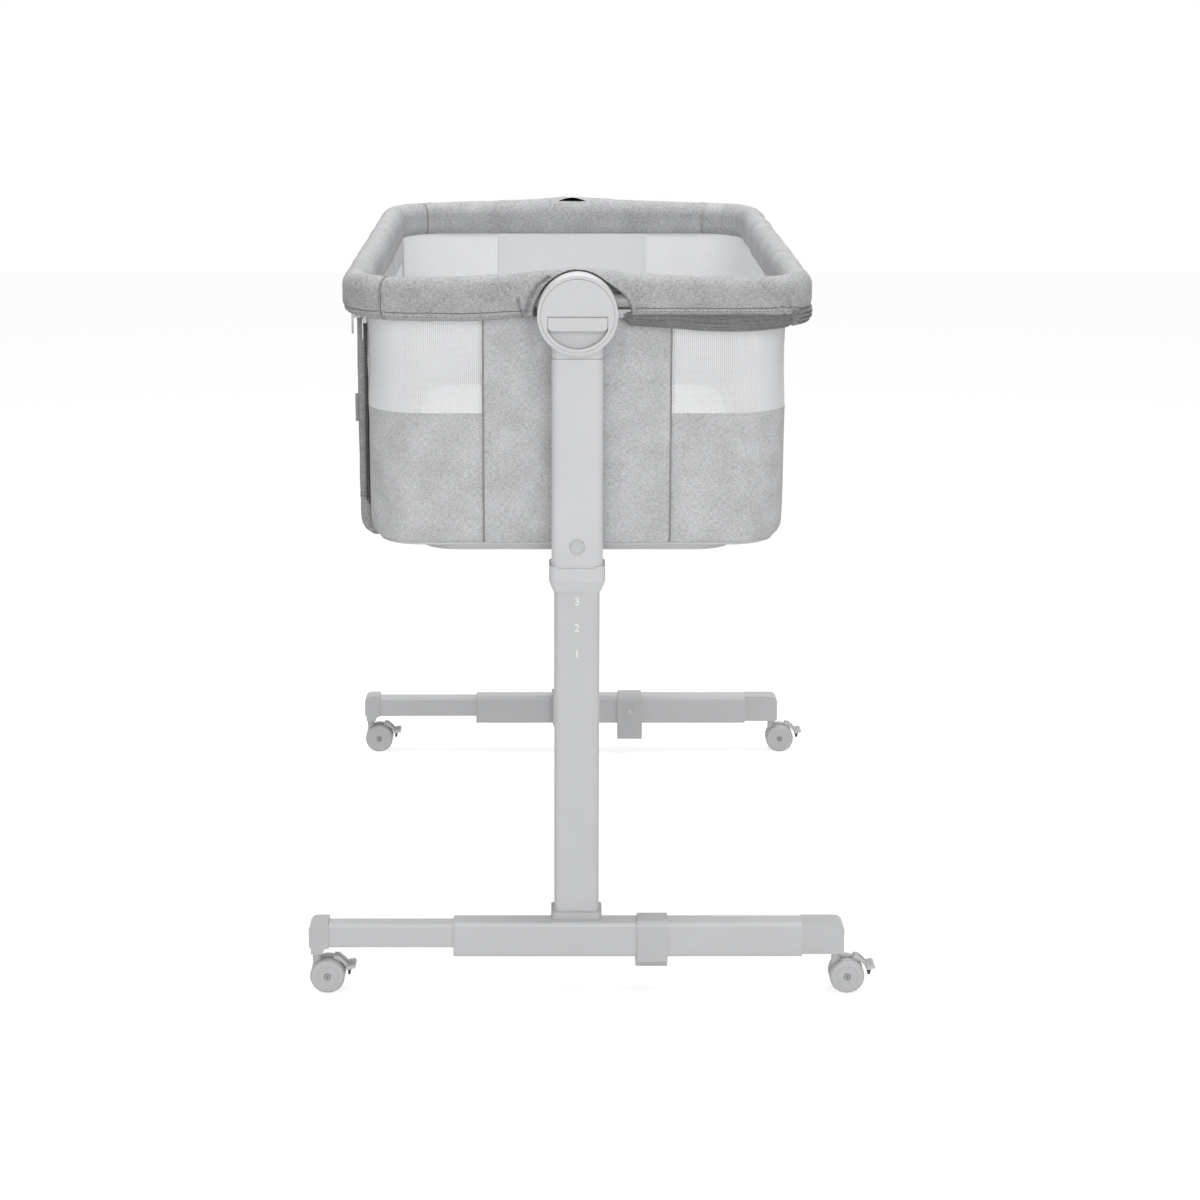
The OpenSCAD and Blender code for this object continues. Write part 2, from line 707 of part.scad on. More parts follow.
module castor_wheels() color(plastic_grey) {
    for (sy = [-1, 1]) translate([axle_x, sy * (castor_body_t / 2 + run_gap + wheel_w / 2), wheel_r])
        rotate([sy * 90, 0, 0]) rotate_extrude() polygon([
            [0, wheel_w / 2], [0, -wheel_w / 2 + cap_in], [wheel_r * cap_share, -wheel_w / 2 + cap_in],
            [wheel_r * cap_share, -wheel_w / 2 + face_in], [wheel_r * face_share, -wheel_w / 2 + face_in],
            [wheel_r * face_edge_share, -wheel_w / 2], [wheel_r - rim_round, -wheel_w / 2],
            [wheel_r, -wheel_w / 2 + rim_slope], [wheel_r, wheel_w / 2 - over],
            [wheel_r - over, wheel_w / 2]]);
    bar_y(axle_x, wheel_r, -castor_body_t / 2 - over, castor_body_t + 2 * over, axle_d / 2);
}

module castor_brake() color(plastic_grey) {
    for (sy = [-1, 1])
        along_y(sy * (castor_body_t / 2 + run_gap + brake_ear_t / 2) - brake_ear_t / 2, brake_ear_t)
            polygon([[brake_axis_x - brake_ear_back, pedal_z1], [pedal_x0 + 2 * over, pedal_z1],
                [pedal_x0 + 2 * over, pedal_z1 - pedal_t], [pedal_x0, pedal_z1 - pedal_t + over],
                [brake_axis_x - run_gap, brake_axis_z - run_gap]]);
    bar_y(brake_axis_x, brake_axis_z, -castor_body_t / 2 - brake_ear_t / 2,
        castor_body_t + brake_ear_t, brake_pin_d / 2);
    along_y(-pedal_w / 2, pedal_w) polygon([
        [pedal_x0 + over, pedal_z1], [pedal_reach - pedal_nose, pedal_z1],
        [pedal_reach, pedal_z1 - over], [pedal_reach - over, pedal_z1 - pedal_t + pedal_thin],
        [pedal_x0 + over, pedal_z1 - pedal_t]]);
    along_y(-castor_body_t / 2 - wheel_w + over, castor_body_t + 2 * wheel_w - 2 * over) polygon([
        [shoe_x, shoe_z], [shoe_x + shoe_t, shoe_z + over],
        [shoe_x + shoe_t, pedal_z1 - pedal_t + pedal_thin],
        [shoe_x, pedal_z1 - pedal_t + pedal_thin]]);
}

// Padded rail: a closed path of straights and quarter turns, seen from above
module both_ends() {
    children();
    mirror([0, 1, 0]) children();
}

module rail_turn(sx, a0, turn) translate([sx * corner_x, -corner_y, rail_z]) rotate([0, 0, a0])
    rotate_extrude(angle = turn) translate([rail_corner_r, 0]) children();

module rail_fixed_path(over_turn) {
    both_ends() {
        rail_turn(1, -90, 90) children();
        mirror([1, 0, 0]) rail_turn(1, -90, seam_turn + over_turn) children();
        translate([0, 0, rail_z]) along_x(-corner_x, 2 * corner_x) translate([-rail_y, 0]) children();
    }
    translate([0, 0, rail_z]) along_y(-corner_y, 2 * corner_y) translate([rail_x, 0]) children();
}

module rail_side_path(over_turn) {
    both_ends() rail_turn(-1, -180, 90 - seam_turn - seam_gap_turn + over_turn) children();
    translate([0, 0, rail_z]) along_y(-corner_y, 2 * corner_y) translate([-rail_x, 0]) children();
}

module pad_outline() {
    square([pad_w, pad_h - pad_w], center = true);
    for (s = [-1, 1]) translate([0, s * pad_shift]) circle(pad_r);
}

module frame_tube() placed() color("silver") difference() {
    rail_fixed_path(0) circle(d = frame_tube_d, $fn = 32);
    rail_fixed_path(over) circle(d = frame_tube_d - 2 * frame_tube_t, $fn = 32);
}

module rail_padding() placed() color(fabric_grey) difference() {
    union() {
        rail_fixed_path(0) pad_outline();
        both_ends() intersection() {
            bar_y(0, hub_z, hump_y0, hump_y1 - hump_y0, hump_r);
            translate([-hub_r, -rail_length, rail_z]) cube([hub_d, rail_length, hub_d]);
        }
    }
    rail_fixed_path(over) circle(d = pad_bore_d);
    both_ends() bar_y(0, hub_z, hump_y0 - hub_len, hub_len, hub_relief_r);
}

module side_tube() placed() color("silver") difference() {
    rail_side_path(0) circle(d = frame_tube_d, $fn = 32);
    rail_side_path(over) circle(d = frame_tube_d - 2 * frame_tube_t, $fn = 32);
}

module side_padding() placed() color(fabric_grey) difference() {
    rail_side_path(0) pad_outline();
    rail_side_path(over) circle(d = pad_bore_d);
}

// Fabric liner: rounded tub with a raised panel in the middle of each end
module liner_layer(inset, z) along_z(z, layer_t)
    rounded(2 * (wall_x - inset), 2 * (wall_y - inset), wall_r - inset * corner_share, $fn = 32);

module liner_form(inset, z_up, z_shift) hull() for (k = [0 : len(liner_heights_share) - 1])
    liner_layer(inset + liner_inset_share[k] * wall_x,
        liner_z0 + z_shift + liner_heights_share[k] * (liner_band_h + z_up));

module basket_liner() placed() color(fabric_grey) {
    difference() {
        liner_form(0, 0, 0);
        liner_form(wall_t, over, liner_floor_t);
        translate([-wall_x - over, -side_y - zip_gap, sill_z])
            cube([wall_r, 2 * (side_y + zip_gap), liner_band_h]);
    }
    for (sy = [-1, 1])
        translate([-centre_panel_w / 2, sy * (wall_y - wall_t / 2) - wall_t / 2, window_z0 - layer_t])
            cube([centre_panel_w, wall_t, wall_top - window_z0 + layer_t]);
}

// Mesh in the upper band outside the centre panels, with the tape that each zip runs on
module mesh_turn(sx, a0) translate([sx * corner_x, -corner_y, window_z0]) rotate([0, 0, a0])
    rotate_extrude(angle = 90) translate([wall_r - wall_t / 2 - mesh_t / 2, 0]) square([mesh_t, window_h]);

module mesh_windows() placed() color(mesh_white) {
    both_ends() {
        mesh_turn(-1, -180);
        mesh_turn(1, -90);
        for (x = [-corner_x, centre_panel_w / 2])
            translate([x, -wall_y + wall_t / 2 - mesh_t / 2, window_z0])
                cube([corner_x - centre_panel_w / 2, mesh_t, window_h]);
        translate([-wall_x, -corner_y - tape_w, window_z0]) cube([wall_t, tape_w, window_h - over]);
    }
    translate([wall_x - wall_t / 2 - mesh_t / 2, -corner_y, window_z0])
        cube([mesh_t, 2 * corner_y, window_h]);
}

// Side that folds down: fabric border round a thinner mesh field
module side_panel() placed() color(fabric_grey) {
    difference() {
        translate([-wall_x, -side_y, side_z0]) cube([wall_t, 2 * side_y, wall_top - side_z0]);
        translate([-wall_x - over, -side_y + side_border, window_z0])
            cube([wall_t + 2 * over, 2 * (side_y - side_border), wall_top - side_border - window_z0]);
    }
    translate([-wall_x + wall_t / 2 - mesh_t / 2, -side_y + side_border, window_z0])
        cube([mesh_t, 2 * (side_y - side_border), wall_top - side_border - window_z0]);
}

// Board, tray and mattress
module base_board() placed() color("burlywood") along_z(board_z, board_t)
    rounded(2 * (wall_x - board_inset), 2 * (wall_y - board_inset), wall_r - board_inset / 2);

module tray_outline(inset)
    rounded(2 * (wall_x - tray_side_inset - inset), 2 * (wall_y - tray_end_inset - inset), tray_r - inset);

module base_tray() placed() color(plastic_grey) difference() {
    union() {
        along_z(liner_z0 - tray_h / 2, tray_h / 2) tray_outline(0);
        along_z(liner_z0 - tray_h, tray_h / 2) tray_outline(tray_lip);
    }
    along_z(liner_z0 - tray_h + tray_t, tray_h) tray_outline(tray_lip + tray_t);
}

function mattress_swell(s) = mattress_draw * (1 - pow(2 * s - 1, 2));

module mattress_outline(inset) rounded(2 * (wall_x - wall_t - mattress_gap - inset),
    2 * (wall_y - wall_t - mattress_gap - inset), wall_r - mattress_gap, $fn = 24);

module mattress_layer(s) along_z(mattress_z0 + s * (mattress_t - mattress_crown), layer_t)
    mattress_outline(mattress_draw - mattress_swell(s));

module mattress() placed() color("white") hull() {
    for (s = mattress_layers_share) mattress_layer(s);
    along_z(mattress_z0 + mattress_t - layer_t, layer_t)
        scale([crown_share, crown_share]) mattress_outline(0);
}

// Zip slider with its pull
module zip_slider() placed() color("silver") {
    translate([-wall_x - run_gap - slider_t, -slider_y - slider_w, slider_z1 - slider_h])
        cube([slider_t, slider_w, slider_h]);
    translate([-wall_x - run_gap - slider_t - pull_t, -slider_y - slider_w / 2 - pull_w / 2,
        slider_z1 - slider_h / 2 - pull_h]) cube([pull_t, pull_w, pull_h]);
}

module castor_body_at(x) placed() castor_at(x) castor_body();
module castor_wheels_at(x) placed() castor_at(x) castor_wheels();
module castor_brake_at(x) placed() castor_at(x) castor_brake();
module rear() mirror([0, 1, 0]) children();

outer_tube();  // front_outer_tube
end_cap();  // front_end_cap
glides();  // front_glides
saddle();  // front_saddle
post_bracket();  // front_post_bracket
lower_post();  // front_lower_post
screws();  // front_screws
rear() outer_tube();  // rear_outer_tube
rear() end_cap();  // rear_end_cap
rear() glides();  // rear_glides
rear() saddle();  // rear_saddle
rear() post_bracket();  // rear_post_bracket
rear() lower_post();  // rear_lower_post
rear() screws();  // rear_screws
inner_tube();  // front_inner_tube
slide_cap();  // front_slide_cap
slide_shoe();  // front_slide_shoe
rear() inner_tube();  // rear_inner_tube
rear() slide_cap();  // rear_slide_cap
rear() slide_shoe();  // rear_slide_shoe
castor_body_at(-stem_x);  // castor_body_front_left
castor_wheels_at(-stem_x);  // castor_wheels_front_left
castor_brake_at(-stem_x);  // castor_brake_front_left
castor_body_at(stem_x);  // castor_body_front_right
castor_wheels_at(stem_x);  // castor_wheels_front_right
castor_brake_at(stem_x);  // castor_brake_front_right
rear() castor_body_at(-stem_x);  // castor_body_rear_left
rear() castor_wheels_at(-stem_x);  // castor_wheels_rear_left
rear() castor_brake_at(-stem_x);  // castor_brake_rear_left
rear() castor_body_at(stem_x);  // castor_body_rear_right
rear() castor_wheels_at(stem_x);  // castor_wheels_rear_right
rear() castor_brake_at(stem_x);  // castor_brake_rear_right
sleeve();  // front_sleeve
collar();  // front_collar
sight_lens();  // front_sight_lens
hub_shell();  // front_hub_shell
hub_cover();  // front_hub_cover
release_flap();  // front_release_flap
pull_rod();  // front_pull_rod
lock_pin();  // front_lock_pin
rear() sleeve();  // rear_sleeve
rear() collar();  // rear_collar
rear() sight_lens();  // rear_sight_lens
rear() hub_shell();  // rear_hub_shell
rear() hub_cover();  // rear_hub_cover
rear() release_flap();  // rear_release_flap
rear() pull_rod();  // rear_pull_rod
rear() lock_pin();  // rear_lock_pin
frame_tube();
rail_padding();
basket_liner();
mesh_windows();
base_board();
base_tray();
mattress();
side_tube();
side_padding();
side_panel();
zip_slider();  // front_zip_slider
rear() zip_slider();  // rear_zip_slider
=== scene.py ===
# %% [markdown]
# # Bedside sleeper crib
# Two end frames carry a padded fabric basket, and one long side folds down. The frame's
# hard parts come in as they are and only get their finish here. Every soft part is made
# again as cloth: a box with a colour would show neither seams nor folds.

# %% Load the frame
import math

import bpy
import bmesh
from mathutils import Matrix, Vector, noise


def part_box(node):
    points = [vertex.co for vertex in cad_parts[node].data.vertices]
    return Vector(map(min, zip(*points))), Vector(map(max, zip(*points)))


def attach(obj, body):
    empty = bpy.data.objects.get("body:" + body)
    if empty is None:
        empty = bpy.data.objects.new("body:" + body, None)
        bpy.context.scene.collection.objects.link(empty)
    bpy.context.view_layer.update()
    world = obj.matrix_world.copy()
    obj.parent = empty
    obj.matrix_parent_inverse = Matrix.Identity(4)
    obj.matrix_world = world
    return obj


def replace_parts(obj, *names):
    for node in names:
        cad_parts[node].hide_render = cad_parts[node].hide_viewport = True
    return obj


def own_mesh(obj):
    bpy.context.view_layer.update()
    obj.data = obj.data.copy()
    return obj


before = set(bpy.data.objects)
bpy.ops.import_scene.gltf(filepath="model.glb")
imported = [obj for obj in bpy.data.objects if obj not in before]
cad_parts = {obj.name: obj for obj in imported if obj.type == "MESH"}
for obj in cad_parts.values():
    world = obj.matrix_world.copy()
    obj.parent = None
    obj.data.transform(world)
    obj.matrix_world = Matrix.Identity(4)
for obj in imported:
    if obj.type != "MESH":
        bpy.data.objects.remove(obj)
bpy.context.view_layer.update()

# %% [markdown]
# The soft parts follow one route round the basket, so its sizes are read from the frame:
# the steel tube inside the rail gives the route, and the hub cover the centre of the hub.

# %% Sizes taken from the frame
TUBE_R = 0.008
PAD_HALF_W = 0.016
PAD_HALF_H = 0.023
CORNER_R = 0.075
WALL_R = 0.063
WALL_T = 0.003

tube_low, tube_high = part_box("frame_tube")
post_low, post_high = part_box("front_lower_post")
cover_low, cover_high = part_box("front_hub_cover")

MID_X = (post_low[0] + post_high[0]) / 2
RAIL_Z = (tube_low[2] + tube_high[2]) / 2
BEND_X = tube_high[0] - TUBE_R - MID_X - CORNER_R
BEND_Y = tube_high[1] - TUBE_R - CORNER_R
HUB_Z = (cover_low[2] + cover_high[2]) / 2
BASE_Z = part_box("basket_liner")[0][2]
NET_LOW_Z = 0.669
NET_TOP_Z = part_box("mesh_windows")[1][2]
SILL_Z = 0.553
HUB_R = 0.04425
HUB_BACK_Y = 0.4027
POST_FACE_Y = -post_low[1]
ENDS = (("front", -1), ("rear", 1))
print("middle x", round(MID_X, 4), "rail z", round(RAIL_Z, 4))
print("bends at", round(BEND_X, 4), round(BEND_Y, 4))

# %% [markdown]
# Walking round the rounded rectangle by distance gives every soft part the same stations.
# A station is the centre of the bend, which stays put in a corner and moves along the
# straights, with the direction that points out of the basket.

# %% A walk round the basket
QUARTER = CORNER_R * math.pi / 2
LEGS = [(BEND_X, False), (QUARTER, True), (2 * BEND_Y, False), (QUARTER, True),
        (2 * BEND_X, False), (QUARTER, True), (2 * BEND_Y, False), (QUARTER, True),
        (BEND_X, False)]
LAP = sum(length for length, turns in LEGS)


def station(s):
    """Bend centre and outward direction, s metres along the rail from the front's middle."""
    s %= LAP
    x, y, angle = MID_X, -BEND_Y, -math.pi / 2
    for length, turns in LEGS:
        step = min(s, length)
        if turns:
            angle += step / CORNER_R
        else:
            x -= math.sin(angle) * step
            y += math.cos(angle) * step
        s -= step
        if s <= 0:
            break
    return x, y, math.cos(angle), math.sin(angle)


def at(s, out, z):
    x, y, nx, ny = station(s)
    return Vector((x + nx * out, y + ny * out, z))


def from_front(s):
    """The same place as a distance from the front's middle, negative on its left."""
    return s if s < LAP / 2 else s - LAP


def steps(start, end, pitch):
    count = max(1, round((end - start) / pitch))
    return [start + (end - start) * k / count for k in range(count + 1)]


REAR = LAP / 2
SEAM_ARC = CORNER_R * math.radians(28)
SEAM_FRONT = LAP - BEND_X - SEAM_ARC
SEAM_REAR = REAR + BEND_X + SEAM_ARC
SEAM_GAP = CORNER_R * math.radians(0.9)
LEFT_START = REAR + BEND_X + QUARTER
LEFT_END = LEFT_START + 2 * BEND_Y
print("one lap is", round(LAP, 3), "m")

# %% [markdown]
# Cloth swells, dips and folds by small amounts. A few short functions give a value that
# starts and ends softly, a crease with soft edges, and a gentle unevenness.

# %% Soft steps, creases and ripples
def clamp(t):
    return max(0.0, min(1.0, t))


def smooth(t):
    t = clamp(t)
    return t * t * (3 - 2 * t)


def crease(value, centre, width, depth=1.0):
    return depth * math.exp(-((value - centre) / width) ** 2)


def ripple(p, size, seed):
    """Soft noise from -1 to 1 with bumps of the given size."""
    return noise.noise(Vector((p[0] / size + seed, p[1] / size - seed, p[2] / size + 2 * seed)))


def round_angles(count):
    return [2 * math.pi * k / count for k in range(count)]


# %% [markdown]
# A loft joins rings of points into one skin, and keeps the distance along and across in
# metres as its UV map, so that a weave has its real size wherever the cloth goes.

# %% Loft and piece helpers
def band(bm, a, b):
    """Faces between two rings with the same number of points."""
    count = len(a)
    return [bm.faces.new((a[j], b[j], b[(j + 1) % count], a[(j + 1) % count]))
            for j in range(count)]


def paint_uv(face, uv, places):
    for loop, place_uv in zip(face.loops, places):
        loop[uv].uv = place_uv


def tube(bm, uv, rings, along, across, lap=False):
    """Closed rings of points become a tube, capped at its ends or closed into a lap."""
    rows = [[bm.verts.new(p) for p in ring] for ring in rings]
    for i in range(len(rows) if lap else len(rows) - 1):
        for j, face in enumerate(band(bm, rows[i], rows[(i + 1) % len(rows)])):
            paint_uv(face, uv, ((along[i], across[j]), (along[i + 1], across[j]),
                                (along[i + 1], across[j + 1]), (along[i], across[j + 1])))
    if not lap:
        bm.faces.new(rows[0])
        bm.faces.new(rows[-1][::-1])


def cloth_bmesh():
    bm = bmesh.new()
    return bm, bm.loops.layers.uv.new("cloth")


def loft(name, rings, along, across, lap=False):
    bm, uv = cloth_bmesh()
    tube(bm, uv, rings, along, across, lap)
    bmesh.ops.recalc_face_normals(bm, faces=bm.faces)
    return mesh_from(name, bm)


def mesh_from(name, bm, sharp=50):
    mesh = bpy.data.meshes.new(name)
    bm.to_mesh(mesh)
    bm.free()
    mesh.polygons.foreach_set("use_smooth", [True] * len(mesh.polygons))
    mesh.set_sharp_from_angle(angle=math.radians(sharp))
    return mesh


def in_scene(name, data):
    """An object for a mesh, a curve, a lamp or a camera."""
    obj = bpy.data.objects.new(name, data)
    bpy.context.scene.collection.objects.link(obj)
    return obj


def plain_mesh(obj):
    """What an object's modifiers make of it, as a plain mesh; the object is dropped."""
    graph = bpy.context.evaluated_depsgraph_get()
    mesh = bpy.data.meshes.new_from_object(obj.evaluated_get(graph))
    bpy.data.objects.remove(obj)
    return mesh


def piece(name, mesh, material, body):
    obj = in_scene(name, mesh)
    mesh.materials.clear()
    mesh.materials.append(material)
    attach(obj, body)
    return obj


def girths(section):
    """Distance round a section at each of its points, and back at the first."""
    total = [0.0]
    for a, b in zip(section, section[1:] + section[:1]):
        total.append(total[-1] + (Vector((*b, 0)) - Vector((*a, 0))).length)
    return total


# %% [markdown]
# ## Finishes
# The photograph gives each finish as a grey level between 0 and 255, and a shader wants
# light, not grey levels, so a small function turns one into the other.

# %% Grey levels and shader helpers
COOL = (0.99, 1.0, 1.015)
WARM_WOOD = (1.0, 0.86, 0.66)


def grey(level, tint=COOL):
    """A linear colour from a grey level of the picture and a slight tint."""
    value = level / 255
    value = ((value + 0.055) / 1.055) ** 2.4
    return (value * tint[0], value * tint[1], value * tint[2], 1.0)


def place(tree, kind, wires=None, **settings):
    """Adds a node, with its settings, and joins or fills its inputs by name or number."""
    node = tree.nodes.new(kind)
    for key, value in settings.items():
        setattr(node, key, value)
    for key, value in (wires or {}).items():
        socket = node.inputs[key]
        if isinstance(value, bpy.types.NodeSocket):
            tree.links.new(value, socket)
        else:
            socket.default_value = value
    return node


def result(tree, kind, wires=None, **settings):
    """The first output of a node that is added."""
    return place(tree, kind, wires, **settings).outputs[0]


def calc(tree, operation, *values):
    return result(tree, "ShaderNodeMath", dict(enumerate(values)), operation=operation)


def spread(tree, value, low, high, first=0.0, last=1.0):
    """Stretches a value, so that low gives first and high gives last."""
    return result(tree, "ShaderNodeMapRange", {0: value, 1: low, 2: high, 3: first, 4: last})


def cloudy(tree, vector, scale, detail):
    return result(tree, "ShaderNodeTexNoise",
                  {"Vector": vector, "Scale": scale, "Detail": detail})


def blended(tree, amount, first, second):
    """Mixes two colours and returns the result."""
    return place(tree, "ShaderNodeMix", {0: amount, 6: first, 7: second},
                 data_type="RGBA").outputs[2]


def shader_group(name, inputs, outputs):
    group = bpy.data.node_groups.new(name, "ShaderNodeTree")
    for label, kind, default in [("Vector", "Vector", None), *inputs]:
        socket = group.interface.new_socket(name=label, in_out="INPUT",
                                            socket_type="NodeSocket" + kind)
        if default is not None:
            socket.default_value = default
    for label, kind in outputs:
        group.interface.new_socket(name=label, in_out="OUTPUT", socket_type="NodeSocket" + kind)
    ends = (group.nodes.new("NodeGroupInput").outputs, group.nodes.new("NodeGroupOutput").inputs)
    return group, *ends


# %% [markdown]
# The cloth is a heather weave: light and dark fibres spun together, woven over and under.
# Stretched noise along both thread directions gives the streaks of the yarn, and the
# product of two sine waves the little hills of the weave. Soft patches stand for the
# uneven pull of the fabric on its foam.

# %% Heather weave group
WARP_STRETCH = (0.22, 0.9, 0.3)
WEFT_STRETCH = (0.9, 0.22, 0.3)


def heather_group():
    group, put, out = shader_group(
        "heather weave",
        [("Thread", "Float", 0.0011), ("Cloth", "Color", None), ("Fleck", "Color", None),
         ("Streaks", "Float", 0.5), ("Patches", "Float", 0.3)],
        [("Color", "Color"), ("Roughness", "Float"), ("Height", "Float")])
    threads = result(group, "ShaderNodeVectorMath",
                     {0: put["Vector"], "Scale": calc(group, "DIVIDE", 1.0, put["Thread"])},
                     operation="SCALE")
    warp, weft = [cloudy(group, result(group, "ShaderNodeVectorMath", {0: threads, 1: stretch},
                                       operation="MULTIPLY"), 1.0, 2.0)
                  for stretch in (WARP_STRETCH, WEFT_STRETCH)]
    streak = spread(group, calc(group, "MULTIPLY", calc(group, "ADD", warp, weft), 0.5), 0.43, 0.59)
    patch = spread(group, cloudy(group, put["Vector"], 26.0, 3.0), 0.35, 0.65)
    amount = calc(group, "ADD", calc(group, "MULTIPLY", streak, put["Streaks"]),
                  calc(group, "MULTIPLY", patch, put["Patches"]))
    colour = blended(group, calc(group, "MINIMUM", amount, 1.0), put["Cloth"], put["Fleck"])
    group.links.new(colour, out["Color"])
    parts = place(group, "ShaderNodeSeparateXYZ", {0: threads}).outputs
    over, under = [calc(group, "SINE", calc(group, "MULTIPLY", parts[k], math.pi))
                   for k in (0, 1)]
    hills = calc(group, "MULTIPLY_ADD", calc(group, "MULTIPLY", over, under), 0.35, 0.5)
    group.links.new(calc(group, "MULTIPLY_ADD", streak, 0.3, hills), out["Height"])
    group.links.new(calc(group, "MULTIPLY_ADD", patch, -0.06, 0.96), out["Roughness"])
    return group


HEATHER = heather_group()

# %% [markdown]
# The net is knitted, with small holes in a honeycomb. Three cosine waves, each turned by
# sixty degrees, add up to round peaks in that pattern, and the peaks become the holes.

# %% Net group
def net_group():
    group, put, out = shader_group(
        "knitted net",
        [("Pitch", "Float", 0.0026), ("Hole", "Float", 1.3), ("Thread", "Color", None),
         ("Shade", "Color", None)],
        [("Color", "Color"), ("Alpha", "Float"), ("Height", "Float")])
    full_wave = 2 * math.pi / math.cos(math.pi / 6)
    waves = None
    for turn in (0, 60, 120):
        ray = (math.cos(math.radians(turn)), math.sin(math.radians(turn)), 0.0)
        dot = place(group, "ShaderNodeVectorMath", {0: put["Vector"], 1: ray},
                    operation="DOT_PRODUCT").outputs[1]
        phase = calc(group, "MULTIPLY", calc(group, "DIVIDE", dot, put["Pitch"]), full_wave)
        wave = calc(group, "COSINE", phase)
        waves = wave if waves is None else calc(group, "ADD", waves, wave)
    depth = calc(group, "SUBTRACT", waves, put["Hole"])
    group.links.new(spread(group, depth, -0.35, 0.35, 1.0, 0.0), out["Alpha"])
    patch = spread(group, cloudy(group, put["Vector"], 14.0, 2.0), 0.35, 0.65, 0.0, 0.6)
    group.links.new(blended(group, patch, put["Thread"], put["Shade"]), out["Color"])
    group.links.new(calc(group, "MULTIPLY", waves, -0.3), out["Height"])
    return group


NET = net_group()

# %% [markdown]
# Painted steel and moulded plastic share one recipe with different numbers: a fine grain
# for the surface, a broad one for slight differences in tone, and rubbed spots that are a
# little smoother where hands and feet touch.

# %% Moulded grain group
def grain_group():
    group, put, out = shader_group(
        "moulded grain",
        [("Grain", "Float", 900.0), ("Tone", "Color", None), ("Shade", "Color", None),
         ("Rough", "Float", 0.45), ("Rubbed", "Float", 0.3)],
        [("Color", "Color"), ("Roughness", "Float"), ("Height", "Float")])
    mask = spread(group, cloudy(group, put["Vector"], 11.0, 4.0), 0.42, 0.68)
    shaded = calc(group, "MULTIPLY", mask, 0.7)
    group.links.new(blended(group, shaded, put["Tone"], put["Shade"]), out["Color"])
    group.links.new(cloudy(group, put["Vector"], put["Grain"], 1.0), out["Height"])
    polish = calc(group, "MULTIPLY", calc(group, "MULTIPLY", mask, put["Rubbed"]), put["Rough"])
    group.links.new(calc(group, "SUBTRACT", put["Rough"], polish), out["Roughness"])
    return group


GRAIN = grain_group()

# %% [markdown]
# Each finish is one material that places a group, feeds its outputs to a shader of its own
# and sets what is the same all over the surface on that shader.

# %% One material from a group
def finish(name, group, values, bump=0.2, depth=0.0002, cloth=False, **constants):
    material = bpy.data.materials.new(name)
    material.use_nodes = True
    tree = material.node_tree
    shader = tree.nodes["Principled BSDF"]
    for key, value in constants.items():
        shader.inputs[key.replace("_", " ")].default_value = value
    if cloth:
        vector = result(tree, "ShaderNodeUVMap", uv_map="cloth")
    else:
        vector = place(tree, "ShaderNodeTexCoord").outputs["Object"]
    node = place(tree, "ShaderNodeGroup", node_tree=group)
    tree.links.new(vector, node.inputs["Vector"])
    for key, value in values.items():
        node.inputs[key].default_value = value
    for label, target in (("Color", "Base Color"), ("Roughness", "Roughness"), ("Alpha", "Alpha")):
        if label in node.outputs:
            tree.links.new(node.outputs[label], shader.inputs[target])
    lift = result(tree, "ShaderNodeBump",
                  {"Strength": bump, "Distance": depth, "Height": node.outputs["Height"]})
    tree.links.new(lift, shader.inputs["Normal"])
    return material


def cloth_finish(name, level, fleck, thread=0.0009, streaks=0.5, patches=0.2, cloth=True):
    values = {"Cloth": grey(level), "Fleck": grey(fleck), "Thread": thread,
              "Streaks": streaks, "Patches": patches}
    return finish(name, HEATHER, values, bump=0.5, depth=0.0004, cloth=cloth,
                  Specular_IOR_Level=0.2)


def hard_finish(name, level, shade, rough=0.45, grain=1500.0, bump=0.08, tint=COOL, **constants):
    values = {"Tone": grey(level, tint), "Shade": grey(shade, tint), "Rough": rough,
              "Grain": grain, "Rubbed": 0.3}
    return finish(name, GRAIN, values, bump=bump, depth=0.00015, **constants)


# %% Cloths, threads and net
rail_cloth = cloth_finish("heather rail cloth", 193, 128, thread=0.0010, patches=0.25)
trim_cloth = cloth_finish("heather trim cloth", 166, 112)
# The band cloth's darker tone is painted shade under the rail.
band_cloth_and_shade = cloth_finish("heather band cloth with painted shade", 152, 98)
wall_cloth = cloth_finish("heather wall cloth", 214, 156, thread=0.0010, patches=0.25)
lining_cloth = cloth_finish("pale lining cloth", 234, 226, streaks=0.2, patches=0.3)
cover_cloth = cloth_finish("mattress cloth", 222, 208, thread=0.0012, streaks=0.25,
                           patches=0.3, cloth=False)
# This grey colours real stitches and the cap's cross, and also painted shadow lines at the neck, in
# the hem's groove and round the axle caps.
stitch_thread_and_shadow = hard_finish("grey stitch thread and painted shadow lines", 118, 100, rough=0.8, grain=2400.0)
pale_thread = hard_finish("pale stitch thread", 205, 190, rough=0.8, grain=2400.0)
window_net = finish("white net", NET, {"Thread": grey(238), "Shade": grey(230)}, bump=0.3,
                    depth=0.0003, cloth=True, Roughness=0.85)

# %% Paints, plastics, rubber, steel and wood
tube_paint = hard_finish("pale grey tube paint", 199, 194, rough=0.4, grain=900.0,
                         Coat_Weight=0.12)
sleeve_paint = hard_finish("light sleeve paint", 208, 203, rough=0.38, grain=900.0,
                           Coat_Weight=0.12)
post_paint = hard_finish("lower post paint", 199, 194, rough=0.4, grain=900.0, Coat_Weight=0.12)
hub_plastic = hard_finish("hub plastic", 206, 201, rough=0.42, grain=1300.0, bump=0.12)
cap_plastic = hard_finish("cap plastic", 194, 187, grain=1100.0, bump=0.15)
castor_plastic = hard_finish("castor plastic", 194, 185, rough=0.42, grain=1100.0, bump=0.15)
tread_rubber = hard_finish("tread rubber", 176, 166, rough=0.62, bump=0.25)
dark_rubber = hard_finish("dark shoe rubber", 62, 50, rough=0.7, bump=0.3)
numeral_paint = hard_finish("white numeral paint", 248, 242, rough=0.5, grain=900.0)
